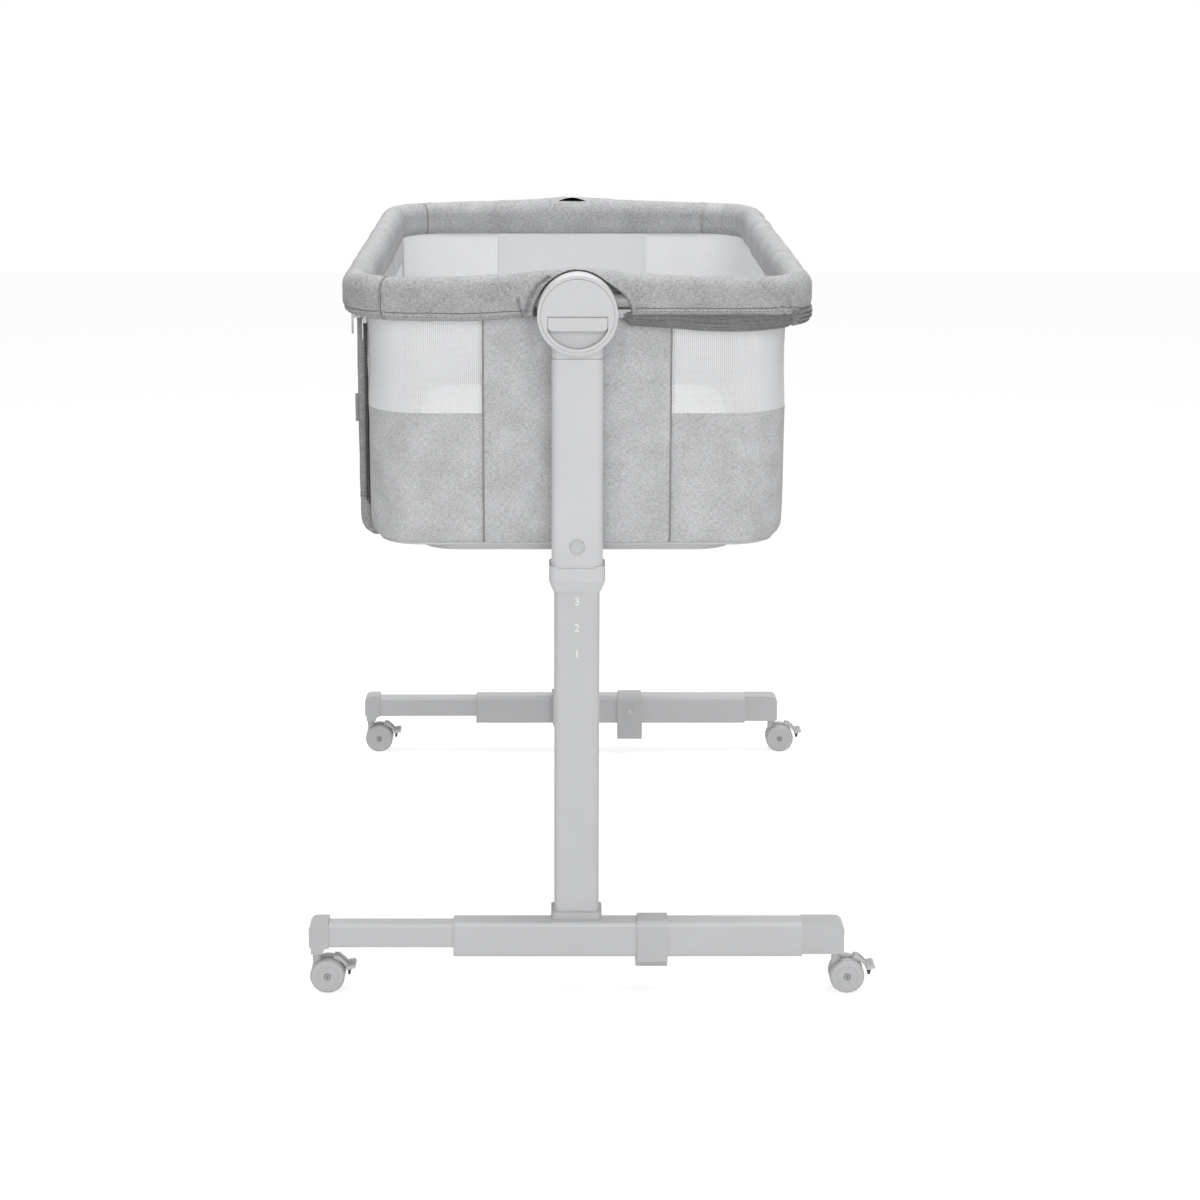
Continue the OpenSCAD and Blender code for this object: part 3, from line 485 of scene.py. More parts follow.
screw_steel = hard_finish("screw steel", 186, 160, rough=0.3, grain=2000.0, Metallic=1.0)
inner_steel = hard_finish("frame tube steel", 170, 160, rough=0.4)
board_wood = hard_finish("pressed board", 205, 190, rough=0.7, grain=350.0, bump=0.3,
                         tint=WARM_WOOD)
# The zip is dark in its own colour, and its tone also paints the shade between the bound edge and
# the wall's corner.
zip_dark_and_shade = hard_finish("dark zip tape with painted shade", 84, 66, rough=0.85, grain=1800.0, bump=0.4)
zip_steel = hard_finish("zip slider metal", 150, 120, rough=0.32, Metallic=0.9)
lens_plastic = hard_finish("clear lens", 240, 236, rough=0.08, grain=400.0, bump=0.02,
                           Transmission_Weight=0.55, IOR=1.2)
print("finishes:", len(bpy.data.materials))

# %% [markdown]
# The hard nodes are already right, so they keep their meshes and only get a finish.

# %% Finish the frame's own nodes
FINISH_NODES = (
    (tube_paint, ("outer_tube", "inner_tube")),
    (post_paint, ("lower_post",)),
    (sleeve_paint, ("sleeve",)),
    (cap_plastic, ("end_cap", "slide_cap", "slide_shoe", "glides", "saddle", "post_bracket",
                   "base_tray")),
    (hub_plastic, ("collar", "hub_shell", "hub_cover", "release_flap")),
    (lens_plastic, ("sight_lens",)),
    (screw_steel, ("screws", "lock_pin")),
    (inner_steel, ("pull_rod", "frame_tube", "side_tube")),
    (castor_plastic, ("castor_body", "castor_wheels", "castor_brake")),
    (board_wood, ("base_board",)),
    (zip_steel, ("zip_slider",)),
)
dressed = 0
for node_name, node_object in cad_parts.items():
    for material, parts in FINISH_NODES:
        if any(part in node_name for part in parts):
            node_object.data.materials.clear()
            node_object.data.materials.append(material)
            dressed += 1
            break
print("nodes with a finish:", dressed)

# %% [markdown]
# ## Padded rails
# Foam is wrapped round the steel tube and held by a cloth sleeve that is stitched shut
# below. Its section is an upright stadium with a stitched hem near the bottom. Along the
# ends it climbs towards the hub and is cut round it, so that the hub stands in an arch.
# Folds are pressed into the cloth where it is gathered.

# %% Section of a padded rail
def pad_section(half_w, half_h, count):
    """Points (out, up) evenly spaced round an upright stadium, from its outer side upwards."""
    straight = half_h - half_w
    around = 4 * straight + 2 * math.pi * half_w
    points = []
    for k in range(count):
        d = (k / count) * around
        if d < straight:
            points.append((half_w, d))
        elif d < straight + math.pi * half_w:
            a = (d - straight) / half_w
            points.append((half_w * math.cos(a), straight + half_w * math.sin(a)))
        elif d < 3 * straight + math.pi * half_w:
            points.append((-half_w, 2 * straight + math.pi * half_w - d))
        elif d < 3 * straight + 2 * math.pi * half_w:
            a = math.pi + (d - 3 * straight - math.pi * half_w) / half_w
            points.append((half_w * math.cos(a), -straight + half_w * math.sin(a)))
        else:
            points.append((half_w, d - around))
    return points


SECTION = pad_section(PAD_HALF_W, PAD_HALF_H, 96)

# %% Shape of the cloth at one place
HUMP_RISE_FRONT = 0.0115
HUMP_RISE_REAR = 0.0075
HUMP_REACH = 0.075
FULL_TOP = 0.0015
ARCH_IN = HUB_R - 0.0002
ARCH_DEPTH = 0.0262
HEM_UP = -0.0135
HEM_LIFT_RIGHT = 0.0035


def hump_height(dx, rise):
    """How far the rail's top climbs towards the hub, at dx from its middle."""
    return FULL_TOP + rise / (1 + (dx / HUMP_REACH) ** 2)


def hem_up(s):
    """Height of the hem's seam on the section, higher to the right of the front post."""
    right = smooth((s - 0.05) / 0.02) * smooth((BEND_X + QUARTER * 0.7 - s) / 0.03)
    return HEM_UP + HEM_LIFT_RIGHT * right


def low_share(s):
    """Share of the full height below the middle: the lower edge is drawn up beside the hub."""
    right = smooth((s - 0.03) / 0.02) * smooth((BEND_X + QUARTER * 0.5 - s) / 0.04)
    left = smooth((s + 0.115) / 0.06) * smooth((-0.02 - s) / 0.02)
    return 1 - 0.27 * right - 0.2 * left


def hub_arch(p):
    """Pushes cloth back behind the hub: snug on its left, with an open gap on its right."""
    side = 1 if p.y > 0 else -1
    dx = -side * (p.x - MID_X)
    dz = p.z - HUB_Z
    rho = math.hypot(dx, dz)
    lean = math.degrees(math.atan2(max(dz, 0.0), abs(dx)))
    gap = 0.0145 * smooth((50 - lean) / 55) if dx > 0 else 0.003 * smooth((18 - lean) / 18)
    width = 0.004 + 0.006 * smooth((lean - 55) / 30)
    t = clamp((rho - ARCH_IN - gap) / width)
    most = HUB_BACK_Y + ARCH_DEPTH * math.sqrt(1 - (1 - t) ** 2)
    if t < 1 and abs(p.y) > most:
        p.y = side * most
    return p


def cloth_relief(s, up, p, top):
    """Inward push at one point: the hem's stitched groove, puckers, and broad softness."""
    inward = 0.0
    if not top:
        hem = hem_up(from_front(s))
        above = 0.6 + 0.4 * math.sin(s / 0.0055 + 3 * ripple(p, 0.05, 3))
        below = 0.8 + 0.2 * math.sin(s / 0.0045 + 2 * ripple(p, 0.04, 4))
        inward += crease(up, hem, 0.0012, 0.0017)
        inward += crease(up, hem + 0.004, 0.0022, 0.0006) * above
        inward -= crease(up, hem - 0.0045, 0.0022, 0.0009) * below
    inward += 0.0011 * ripple(p, 0.055, 1) + 0.0005 * ripple(p, 0.018, 5)
    return inward


# %% [markdown]
# Beside the hub the cloth is drawn into a roll with a deep crease on its outside. Each
# crease is a short line of points, right and up from the middle of the hub, with a width
# and a depth, and the cloth is pushed back by how near it lies to the line.

# %% Creases beside the hub
HUB_CREASES = [
    ([(-0.032, 0.0375), (-0.0445, 0.0290), (-0.0520, 0.0165), (-0.0560, 0.0030),
      (-0.0600, -0.0060)], 0.0018, 0.0062),
    ([(-0.0655, 0.0150), (-0.0645, 0.0060), (-0.0600, -0.0040)], 0.0015, 0.0044),
    ([(-0.0760, -0.0030), (-0.0610, -0.0070)], 0.0013, 0.0026),
    ([(0.0600, -0.0012), (0.0660, 0.0040), (0.0760, 0.0058)], 0.0016, 0.0020),
    ([(0.0560, 0.0150), (0.0620, 0.0110), (0.0640, 0.0040)], 0.0018, 0.0012),
]
CREASED_HALF = 0.085


def hub_creases(p):
    side = 1 if p.y > 0 else -1
    spot = Vector((-side * (p.x - MID_X), p.z - HUB_Z))
    push = 0.0
    for line, width, depth in HUB_CREASES:
        near = 1.0
        for a, b in zip(line, line[1:]):
            a, b = Vector(a), Vector(b)
            t = clamp((spot - a).dot(b - a) / (b - a).length_squared)
            near = min(near, (spot - a - t * (b - a)).length)
        push = max(push, crease(near, 0, width, depth))
    p.y -= side * push
    return p


# %% [markdown]
# At the corners the cloth is gathered into folds. A fold on the outside has a place along
# the rail, a height, a reach up and down, a depth and a slant. The upright creases inside
# the far rail have a place, a depth and a width.

# %% Folds gathered at the corners
FRONT_FOLDS = [(0.200, 0.015, 0.010, 0.0022, -1.3), (0.212, -0.004, 0.014, 0.0028, -0.6),
               (0.222, -0.008, 0.012, 0.0034, -0.5), (0.2345, -0.006, 0.016, 0.0042, -0.5),
               (-0.214, -0.004, 0.02, 0.0014, 0.4)]
FRONT_FOLD_WIDTH = 0.0022
REAR_FOLDS = [(REAR - BEND_X - 0.012, 0.0036, 0.0024), (REAR + BEND_X + 0.030, 0.0024, 0.0040),
              (REAR - BEND_X - 0.045, 0.0016, 0.0050)]


def front_folds(s, up):
    s = from_front(s)
    total = 0.0
    for where, height, reach, depth, slant in FRONT_FOLDS:
        off = s - where - slant * (up - height)
        total += crease(off, 0, FRONT_FOLD_WIDTH, depth) * crease(up, height, reach)
    return total


def rear_folds(s):
    return sum(crease(s, where, width, depth) for where, depth, width in REAR_FOLDS)


# %% [markdown]
# One function gives the finished surface at a place of the route and a point of the
# section. The covers are lofted from it, and the seams and stitches later use it too, so
# that they lie in their groove wherever the cloth is pushed in.

# %% The cover's surface
def rail_point(s, out, up, end_draw=0.0, proud=0.0):
    """The surface for a point (out, up) of the section, s metres along the route."""
    x, y, nx, ny = station(s)
    on_end = abs(ny) > 0.999
    most = HUMP_RISE_FRONT if y < 0 else HUMP_RISE_REAR
    rise = hump_height(x - MID_X if on_end else BEND_X + 0.01, most if on_end else HUMP_RISE_REAR)
    if up > 0:
        lift = up * (1 + rise / PAD_HALF_H)
    else:
        lift = up * (low_share(from_front(s)) if y < 0 else 1)

    def spot(share):
        reach = CORNER_R + out * share
        return Vector((x + nx * reach, y + ny * reach, RAIL_Z + lift * share))

    inward = cloth_relief(s, up, spot(1), up > 0.004 or out < 0) + end_draw - proud
    inward += front_folds(s, up) if out > 0 else rear_folds(s % LAP)
    p = spot(1 - inward / (math.hypot(out, up) or 1))
    if on_end and abs(x - MID_X) < CREASED_HALF:
        p = hub_arch(hub_creases(p) if out > 0 else p)
    return p


# %% Make the two rail covers
FINE_PITCH = 0.0013
RAIL_PITCH = 0.0042
FINE_HALF = 0.075
END_DRAW = 0.0011


def rail_places(start, end):
    """Places along the route, closer together beside the hubs."""
    places = []
    s = start
    while s < end:
        places.append(s)
        near_hub = abs((s + LAP / 4) % (LAP / 2) - LAP / 4)
        s += FINE_PITCH if near_hub < FINE_HALF else RAIL_PITCH
    return places + [end]


def rail_cover(name, start, end, body, node):
    places = rail_places(start, end)
    rings = []
    for s in places:
        end_draw = END_DRAW * (crease(s, start, 0.003) + crease(end, s, 0.003))
        rings.append([rail_point(s, out, up, end_draw) for out, up in SECTION])
    mesh = loft(name, rings, places, girths(SECTION))
    cover = piece(name, mesh, rail_cloth, body)
    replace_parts(cover, node)
    print(name, "has", len(mesh.polygons), "faces")


rail_cover("fixed_rail_cover", SEAM_FRONT - LAP, SEAM_REAR, "basket", "rail_padding")
rail_cover("side_rail_cover", SEAM_REAR + SEAM_GAP, SEAM_FRONT - SEAM_GAP, "drop_side",
           "side_padding")

# %% [markdown]
# Cords, piping and seams are thin round lines along a path. Each point gets a small ring of
# vertices, set across the direction in which the path runs on.

# %% Thin cords
CORD_STEP = 0.004
UPRIGHT = Vector((0, 0, 1))


def cord(name, paths, thick, across, material, body, closed=False, sides=8):
    """Round cords through lists of points; across is a direction that no path runs along."""
    bm, uv = cloth_bmesh()
    for points in paths:
        count = len(points)
        rings = []
        for k, p in enumerate(points):
            before = points[k - 1] if closed or k else p
            after = points[(k + 1) % count] if closed or k < count - 1 else p
            side = (after - before).cross(across).normalized()
            up = side.cross(after - before).normalized()
            rings.append([p + thick * (math.cos(a) * side + math.sin(a) * up)
                          for a in round_angles(sides)])
        tube(bm, uv, rings, [k * CORD_STEP for k in range(count + 1)],
             [j * thick for j in range(sides + 1)], closed)
    bmesh.ops.recalc_face_normals(bm, faces=bm.faces)
    return piece(name, mesh_from(name, bm), material, body)


# %% Corded edges where the rails meet
for label, s in (("front", SEAM_FRONT - SEAM_GAP - 0.001), ("rear", SEAM_REAR + SEAM_GAP + 0.001)):
    nx, ny = station(s)[2:]
    ring = [rail_point(s, out, up, END_DRAW, proud=0.0003) for out, up in SECTION[::2]]
    cord(f"{label}_rail_cord", [ring], 0.0008, Vector((-ny, nx, 0)), trim_cloth, "drop_side",
         closed=True)

# %% [markdown]
# ## Walls
# The liner is one bag: a floor, and walls that curve in at the bottom. It is made as a
# section that runs down the inside and back up the outside, swept once round the basket.
# On the folding side the wall stops at a low sill, so the top of the section follows a
# height that drops there.

# %% Profile of the wall
LINER_CURVE = [(0.0, 0.0175), (0.04, 0.0068), (0.12, 0.0014), (0.25, 0.0008), (1.0, 0.0)]
LINER_LEVELS = [0.0, 0.02, 0.05, 0.09, 0.14, 0.2, 0.28, 0.38, 0.5, 0.62, 0.75, 0.88, 0.97, 1.0]
LINER_H = NET_LOW_Z - BASE_Z


def liner_inset(z):
    """How far the wall has curved in at height z."""
    share = clamp((z - BASE_Z) / LINER_H)
    for (a, inset_a), (b, inset_b) in zip(LINER_CURVE, LINER_CURVE[1:]):
        if share <= b:
            t = (share - a) / (b - a)
            return inset_a + (inset_b - inset_a) * (1 - (1 - t) ** 1.6)
    return 0.0


def wall_top_at(s):
    """Top of the liner, low along the folding side."""
    s %= LAP
    inside = min(s - LEFT_START, LEFT_END - s)
    return NET_LOW_Z + (SILL_Z - NET_LOW_Z) * smooth((inside + 0.001) / 0.003)


def wall_puff(p):
    return 0.0012 * ripple(p, 0.09, 2) + 0.0005 * ripple(p, 0.03, 7)


# %% The fabric liner
def liner_ring(s):
    """Points up the outside of the wall and down its inside, at one place."""
    top = wall_top_at(s) - 0.0002
    ring = []
    for share in LINER_LEVELS:
        z = BASE_Z + share * (top - BASE_Z)
        out = WALL_R - liner_inset(z)
        puff = wall_puff(at(s, out, z)) * smooth(share / 0.15) * smooth((1 - share) / 0.1)
        ring.append(at(s, out - abs(puff), z))
    for share in reversed(LINER_LEVELS[1:]):
        z = max(BASE_Z + share * (top - BASE_Z), BASE_Z + WALL_T * 0.8)
        ring.append(at(s, WALL_R - liner_inset(z) - WALL_T, z))
    return ring


def make_liner():
    sill_ends = [LEFT_START + step for step in (-0.001, 0.001, 0.003)]
    sill_ends += [LEFT_END - step for step in (0.003, 0.001, -0.001)]
    places = sorted(set(steps(0, LAP, 0.008)[:-1] + sill_ends))
    bm, uv = cloth_bmesh()
    rows = [[bm.verts.new(p) for p in liner_ring(s)] for s in places]
    for i, u in enumerate(zip(places, places[1:] + [LAP])):
        a, b = rows[i], rows[(i + 1) % len(rows)]
        for j in range(len(a) - 1):
            face = bm.faces.new((a[j], b[j], b[j + 1], a[j + 1]))
            paint_uv(face, uv, ((u[0], a[j].co.z), (u[1], b[j].co.z), (u[1], b[j + 1].co.z),
                                (u[0], a[j + 1].co.z)))
    for edge_row in (0, -1):
        cap = bm.faces.new([row[edge_row] for row in rows])
        paint_uv(cap, uv, [vert.co.xy for vert in cap.verts])
    bmesh.ops.recalc_face_normals(bm, faces=bm.faces)
    bmesh.ops.triangulate(bm, faces=[f for f in bm.faces if len(f.verts) > 4])
    mesh = mesh_from("fabric_liner", bm, sharp=40)
    liner = piece("fabric_liner", mesh, wall_cloth, "basket")
    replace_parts(liner, "basket_liner")
    print("liner faces:", len(mesh.polygons))


make_liner()

# %% [markdown]
# Nets and panels are thin sheets on the wall. A sheet follows the wall's curve, and a
# function of the place may push it in or out, which gives a net its sag and cloth its folds.

# %% Sheets on the walls
def wall_sheet(name, start, end, low, high, material, body, thick=0.0008, out=0.0, pitch=0.006,
               relief=None):
    """A thin closed sheet on the wall between two places and two heights."""
    places = steps(start, end, pitch)
    rows_up = max(2, round((high - low) / 0.009))
    heights = [low + (high - low) * k / rows_up for k in range(rows_up + 1)]
    rings = []
    for s in places:
        outer, inner = [], []
        for z in heights:
            push = relief(s, z) if relief else 0.0
            radius = WALL_R + out + push - liner_inset(z)
            outer.append(at(s, radius, z))
            inner.append(at(s, radius - thick, z))
        rings.append(outer + inner[::-1])
    mesh = loft(name, rings, places, heights + heights[::-1] + [low])
    sheet = piece(name, mesh, material, body)
    return sheet


# %% [markdown]
# The windows are net from the liner up to the rail, on the front, the fixed side, the rear
# and both corners of the folding side. The grey panels between them are left out here.

# %% Net windows
PANEL_HALF = 0.105
NET_T = 0.0008
NET_SAG = 0.0018


def net_sag(s, z):
    """A stretched net bows in a little between its seams."""
    return -NET_SAG * math.sin(math.pi * clamp((z - NET_LOW_Z) / (NET_TOP_Z - NET_LOW_Z)))


corner_end = BEND_X + QUARTER - 0.0015
nets = [wall_sheet(name, start, end, NET_LOW_Z + 0.0002, NET_TOP_Z, window_net, "basket", NET_T,
                   relief=net_sag)
        for name, start, end in (("right_net", PANEL_HALF, REAR - PANEL_HALF),
                                 ("front_left_net", -corner_end, -PANEL_HALF),
                                 ("rear_left_net", REAR + PANEL_HALF, REAR + corner_end))]
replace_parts(nets[0], "mesh_windows")

# %% [markdown]
# The grey panel behind each post hangs from the rail down to the bottom seam and is held
# only at its edges, so it falls into soft upright folds. A fold has a place, a width and a
# strength. Inside, a pale panel lines the wall at the same place.

# %% Folded centre panels
PANEL_LOW = BASE_Z + 0.004
PANEL_OUT = 0.0011
PANEL_FOLDS = [(-0.095, 0.006, -0.5), (-0.070, 0.014, 1.0), (-0.037, 0.012, -1.0),
               (0.0, 0.014, 0.3), (0.036, 0.012, -1.0), (0.071, 0.014, 1.0),
               (0.095, 0.006, -0.5)]
FOLD_DEPTH = 0.0016
PANEL_BULGE = 0.0026
HUB_ROOM = HUB_BACK_Y - BEND_Y - WALL_R - 0.0005
HUB_LOW_Z = 0.733
HUB_HALF_X = 0.047


def panel_push(offset, z):
    """Rise of the panel and its upright folds at one place, flat where it passes the hub."""
    lean = 0.05 * (z - NET_LOW_Z) * (1 if offset > 0 else -1)
    wave = sum(crease(offset - where + lean, 0, width, strength)
               for where, width, strength in PANEL_FOLDS)
    p = Vector((offset, 0.0, z))
    slack = smooth((z - PANEL_LOW) / 0.03) * smooth((NET_TOP_Z - z) / 0.02)
    slack *= smooth((PANEL_HALF - abs(offset)) / 0.012)
    push = PANEL_BULGE + FOLD_DEPTH * wave + 0.0009 * ripple(p, 0.035, 4)
    push = (push + 0.0005 * ripple(p, 0.014, 6)) * slack
    clear = max((abs(offset) - HUB_HALF_X) / 0.012, (HUB_LOW_Z - z) / 0.015)
    return min(push, HUB_ROOM - PANEL_OUT + 0.006 * smooth(clear))


def centre_panel(name, middle):
    wall_sheet(name, middle - PANEL_HALF - 0.0005, middle + PANEL_HALF + 0.0005, PANEL_LOW,
               NET_TOP_Z, wall_cloth, "basket", 0.0010, out=PANEL_OUT, pitch=0.0032,
               relief=lambda s, z: panel_push(s - middle, z))


MIDDLES = (("front", 0.0), ("rear", REAR))
for label, middle in MIDDLES:
    centre_panel(f"{label}_centre_panel", middle)
for label, middle in MIDDLES:
    wall_sheet(f"{label}_inner_panel", middle - PANEL_HALF, middle + PANEL_HALF,
               NET_LOW_Z + 0.0003, NET_TOP_Z, lining_cloth, "basket", 0.0008, out=-0.0003,
               relief=lambda s, z: 0.0006 * ripple((s, 0, z), 0.04, 3))


# %% Seams beside the centre panels
SEAM_HALF = 0.0012
SEAM_PROUD = 0.0022


def seam_strip(name, s, low, high, body, material):
    """A narrow raised seam that runs up the wall."""
    rings = []
    heights = steps(low, high, 0.006)
    for z in heights:
        base = WALL_R - liner_inset(z)
        wobble = 0.0004 * ripple(Vector((s, z, 0)), 0.02, 8)
        rings.append([at(s - SEAM_HALF + wobble, base + 0.0002, z),
                      at(s - SEAM_HALF * 0.6 + wobble, base + SEAM_PROUD, z),
                      at(s + SEAM_HALF * 0.6 + wobble, base + SEAM_PROUD, z),
                      at(s + SEAM_HALF + wobble, base + 0.0002, z)])
    mesh = loft(name, rings, heights, [0, 0.002, 0.005, 0.007, 0.012])
    return piece(name, mesh, material, body)


for label, middle in MIDDLES:
    for side, offset in (("left", -PANEL_HALF), ("right", PANEL_HALF)):
        seam_strip(f"{label}_{side}_panel_seam", middle + offset, PANEL_LOW, NET_TOP_Z, "basket",
                   trim_cloth)

# %% [markdown]
# ## Folding side
# The side is a frame of grey cloth round a net window. Both are sheets on the same wall,
# the cloth with a hole for the net.

# %% Folding side panel
SIDE_LOW = 0.556
BORDER = 0.028
NET_TURN_IN = 0.004
SIDE_START = LEFT_START + 0.0015
SIDE_END = LEFT_END - 0.0015
BORDER_OUTER = WALL_R - 0.0001
BORDER_INNER = WALL_R - 0.0026


def bordered(low, high, pitch):
    """Places from low to high that are closer together on the borders."""
    return (steps(low, low + BORDER, 0.007) + steps(low + BORDER, high - BORDER, pitch)[1:]
            + steps(high - BORDER, high, 0.007)[1:])


def make_border():
    places = bordered(SIDE_START, SIDE_END, 0.02)
    heights = bordered(SIDE_LOW, NET_TOP_Z, 0.014)
    bm, uv = cloth_bmesh()
    grid = {}
    for i, s in enumerate(places):
        for j, z in enumerate(heights):
            for layer, out in enumerate((BORDER_OUTER, BORDER_INNER)):
                grid[i, j, layer] = bm.verts.new(at(s, out, z))

    def is_cloth(i, j):
        if not (0 <= i < len(places) - 1 and 0 <= j < len(heights) - 1):
            return False
        s, z = (places[i] + places[i + 1]) / 2, (heights[j] + heights[j + 1]) / 2
        return not (SIDE_START + BORDER < s < SIDE_END - BORDER
                    and SIDE_LOW + BORDER < z < NET_TOP_Z - BORDER)

    def quad(corners):
        face = bm.faces.new([grid[c] for c in corners])
        paint_uv(face, uv, [(places[i], heights[j]) for i, j, layer in corners])

    for i in range(len(places) - 1):
        for j in range(len(heights) - 1):
            if not is_cloth(i, j):
                continue
            quad([(i, j, 0), (i + 1, j, 0), (i + 1, j + 1, 0), (i, j + 1, 0)])
            quad([(i, j, 1), (i, j + 1, 1), (i + 1, j + 1, 1), (i + 1, j, 1)])
            for di, dj, c, d in ((-1, 0, (i, j), (i, j + 1)), (1, 0, (i + 1, j), (i + 1, j + 1)),
                                 (0, -1, (i, j), (i + 1, j)), (0, 1, (i, j + 1), (i + 1, j + 1))):
                if not is_cloth(i + di, j + dj):
                    quad([(*c, 0), (*d, 0), (*d, 1), (*c, 1)])
    bmesh.ops.recalc_face_normals(bm, faces=bm.faces)
    return mesh_from("side_cloth_border", bm, sharp=40)


panel = piece("side_cloth_border", make_border(), wall_cloth, "drop_side")
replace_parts(panel, "side_panel")
wall_sheet("side_net", SIDE_START + BORDER - NET_TURN_IN, SIDE_END - BORDER + NET_TURN_IN,
           SIDE_LOW + BORDER - NET_TURN_IN, NET_TOP_Z - BORDER + NET_TURN_IN, window_net,
           "drop_side", NET_T, out=-0.0009)

# %% [markdown]
# Strips that stand out of the wall are swept along an upright line: the bound edge of the
# folding side with its pull tab, the welt that carries on below it, and the tape of the zip.
# The edge and the tab are soft, and each gets its own copy of its mesh.

# %% Upright strips beside the zip
WALL_X = MID_X - BEND_X - WALL_R
ZIP_Y = 0.3425
ZIP_TOP_Z = 0.774
STRIP_SIDES = 12


def upright_strip(name, y, half, x_span, z_span, material, body):
    """A rounded strip that stands out from the folding side's wall, at y from the middle."""
    heights = steps(*z_span, 0.006)
    rings = []
    for z in heights:
        sway = 0.0006 * ripple(Vector((y, z, 1.0)), 0.03, 9)
        inset = liner_inset(z)
        ring = []
        for a in round_angles(STRIP_SIDES):
            cx, sy = math.cos(a), math.sin(a)
            px = sum(x_span) / 2 + (x_span[1] - x_span[0]) / 2 * math.copysign(abs(cx) ** 0.6, cx)
            py = half * math.copysign(abs(sy) ** 0.6, sy)
            ring.append(Vector((WALL_X - px - sway + inset, y + py, z)))
        rings.append(ring)
    mesh = loft(name, rings, heights, [k * 0.002 for k in range(STRIP_SIDES + 1)])
    return piece(name, mesh, material, body)


for label, side in ENDS:
    edge = upright_strip(f"{label}_side_edge", side * 0.3325, 0.0034, (0.0003, 0.0122),
                         (SIDE_LOW + 0.002, 0.7725), trim_cloth, "drop_side")
    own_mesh(edge)
    upright_strip(f"{label}_low_edge", side * 0.3388, 0.0022, (-0.0006, 0.0112),
                  (BASE_Z + 0.001, SILL_Z + 0.007), trim_cloth, "basket")
    # The zip tape's dark tone is its own colour together with painted shade.
    upright_strip(f"{label}_zip_tape", side * ZIP_Y, 0.0042, (0.0003, 0.0013),
                  (SILL_Z, ZIP_TOP_Z), zip_dark_and_shade, "basket")
    tab = upright_strip(f"{label}_pull_tab", side * 0.3318, 0.0045, (0.0112, 0.0155),
                        (0.648, 0.679), trim_cloth, "drop_side")
    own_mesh(tab)

# %% [markdown]
# ## Bands below the rail
# On the right of the front post the wall's top is gathered under the rail in a bunched
# band. It is a flat roll whose surface carries long level folds that wander a little, and a
# second roll overlaps it round the corner. Both are darker than the wall cloth they come
# from: the darker tone is painted shade under the rail.

# %% Bunched bands
BAND_TOP_Z = 0.7875
BAND_HALF_H = 0.0118
BAND_FOLD = 0.0046
BAND_FOLD_DEPTH = 0.0015
BAND_START = 0.0465


def bunched_band(name, start, end, out=0.0765, top=BAND_TOP_Z):
    section = pad_section(BAND_HALF_H * 0.83, BAND_HALF_H, 44)
    places = steps(start, end, 0.004)
    rings = []
    for s in places:
        ends = min(1.0, math.sqrt(max(0.02, min(s - start, end - s) / 0.012)))
        size = ends * (0.74 + 0.26 * smooth((s - BAND_START) / 0.12))
        wander = 2.2 * ripple((s, 0, 0), 0.06, 11)
        drift = 0.0008 * ripple((s, 5, 0), 0.08, 13)
        ring = []
        for o, u in section:
            folds = 0.0
            if o > 0:
                folds = BAND_FOLD_DEPTH * math.cos(2 * math.pi * u / BAND_FOLD + wander)
            folds += 0.0006 * ripple((s, u * 6, 0), 0.02, 12)
            ring.append(at(s, out + (o + folds) * size, top - (BAND_HALF_H - u) * size + drift))
        rings.append(ring)
    mesh = loft(name, rings, places, girths(section))
    return piece(name, mesh, band_cloth_and_shade, "basket")


# The dark band cloth paints the shade under the rail on both rolls.
bunched_band("front_right_band", BAND_START, BEND_X + QUARTER * 0.62)
bunched_band("corner_gather", BEND_X + QUARTER * 0.5, BEND_X + QUARTER + 0.06, out=0.0815,
             top=0.789)

# %% [markdown]
# ## Mattress
# A mattress is soft foam in a cover, fuller in the middle of its sides than at its seams.
# A quick cloth simulation with a little air pressure swells a thinner block, and the swell
# is capped so that it stays between the walls.

# %% The block before it swells
mat_low, mat_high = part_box("mattress")
MAT_HALF_X = (mat_high[0] - mat_low[0]) / 2
MAT_HALF_Y = (mat_high[1] - mat_low[1]) / 2
MAT_T = mat_high[2] - mat_low[2]
MAT_CORNER_R = 0.05
BLOCK_PROFILE = ((0.0, 0.016), (0.12, 0.009), (0.5, 0.006), (0.86, 0.011), (0.94, 0.022))


def rounded_outline(half_x, half_y, radius, per_corner=8):
    points = []
    in_x, in_y = half_x - radius, half_y - radius
    for cx, cy, a0 in ((in_x, in_y, 0), (-in_x, in_y, 90), (-in_x, -in_y, 180), (in_x, -in_y, 270)):
        for k in range(per_corner + 1):
            a = math.radians(a0 + 90 * k / per_corner)
            points.append((cx + radius * math.cos(a), cy + radius * math.sin(a)))
    return points


def mattress_block():
    """A block a little smaller than the mattress, with a rounded rim."""
    bm = bmesh.new()
    rows = []
    for share, inset in BLOCK_PROFILE:
        z = mat_low[2] + 0.001 + share * MAT_T
        outline = rounded_outline(MAT_HALF_X - inset, MAT_HALF_Y - inset, MAT_CORNER_R)
        rows.append([bm.verts.new((MID_X + x, y, z)) for x, y in outline])
    for a, b in zip(rows, rows[1:]):
        for j in range(len(a)):
            k = (j + 1) % len(a)
            bm.faces.new((a[j], a[k], b[k], b[j]))
    bm.faces.new(rows[0][::-1])
    bm.faces.new(rows[-1])
    bmesh.ops.recalc_face_normals(bm, faces=bm.faces)
    mesh = bpy.data.meshes.new("mattress_pad")
    bm.to_mesh(mesh)
    bm.free()
    return mesh


# %% Air pressure fills the cover
SWELL_FRAMES = 20


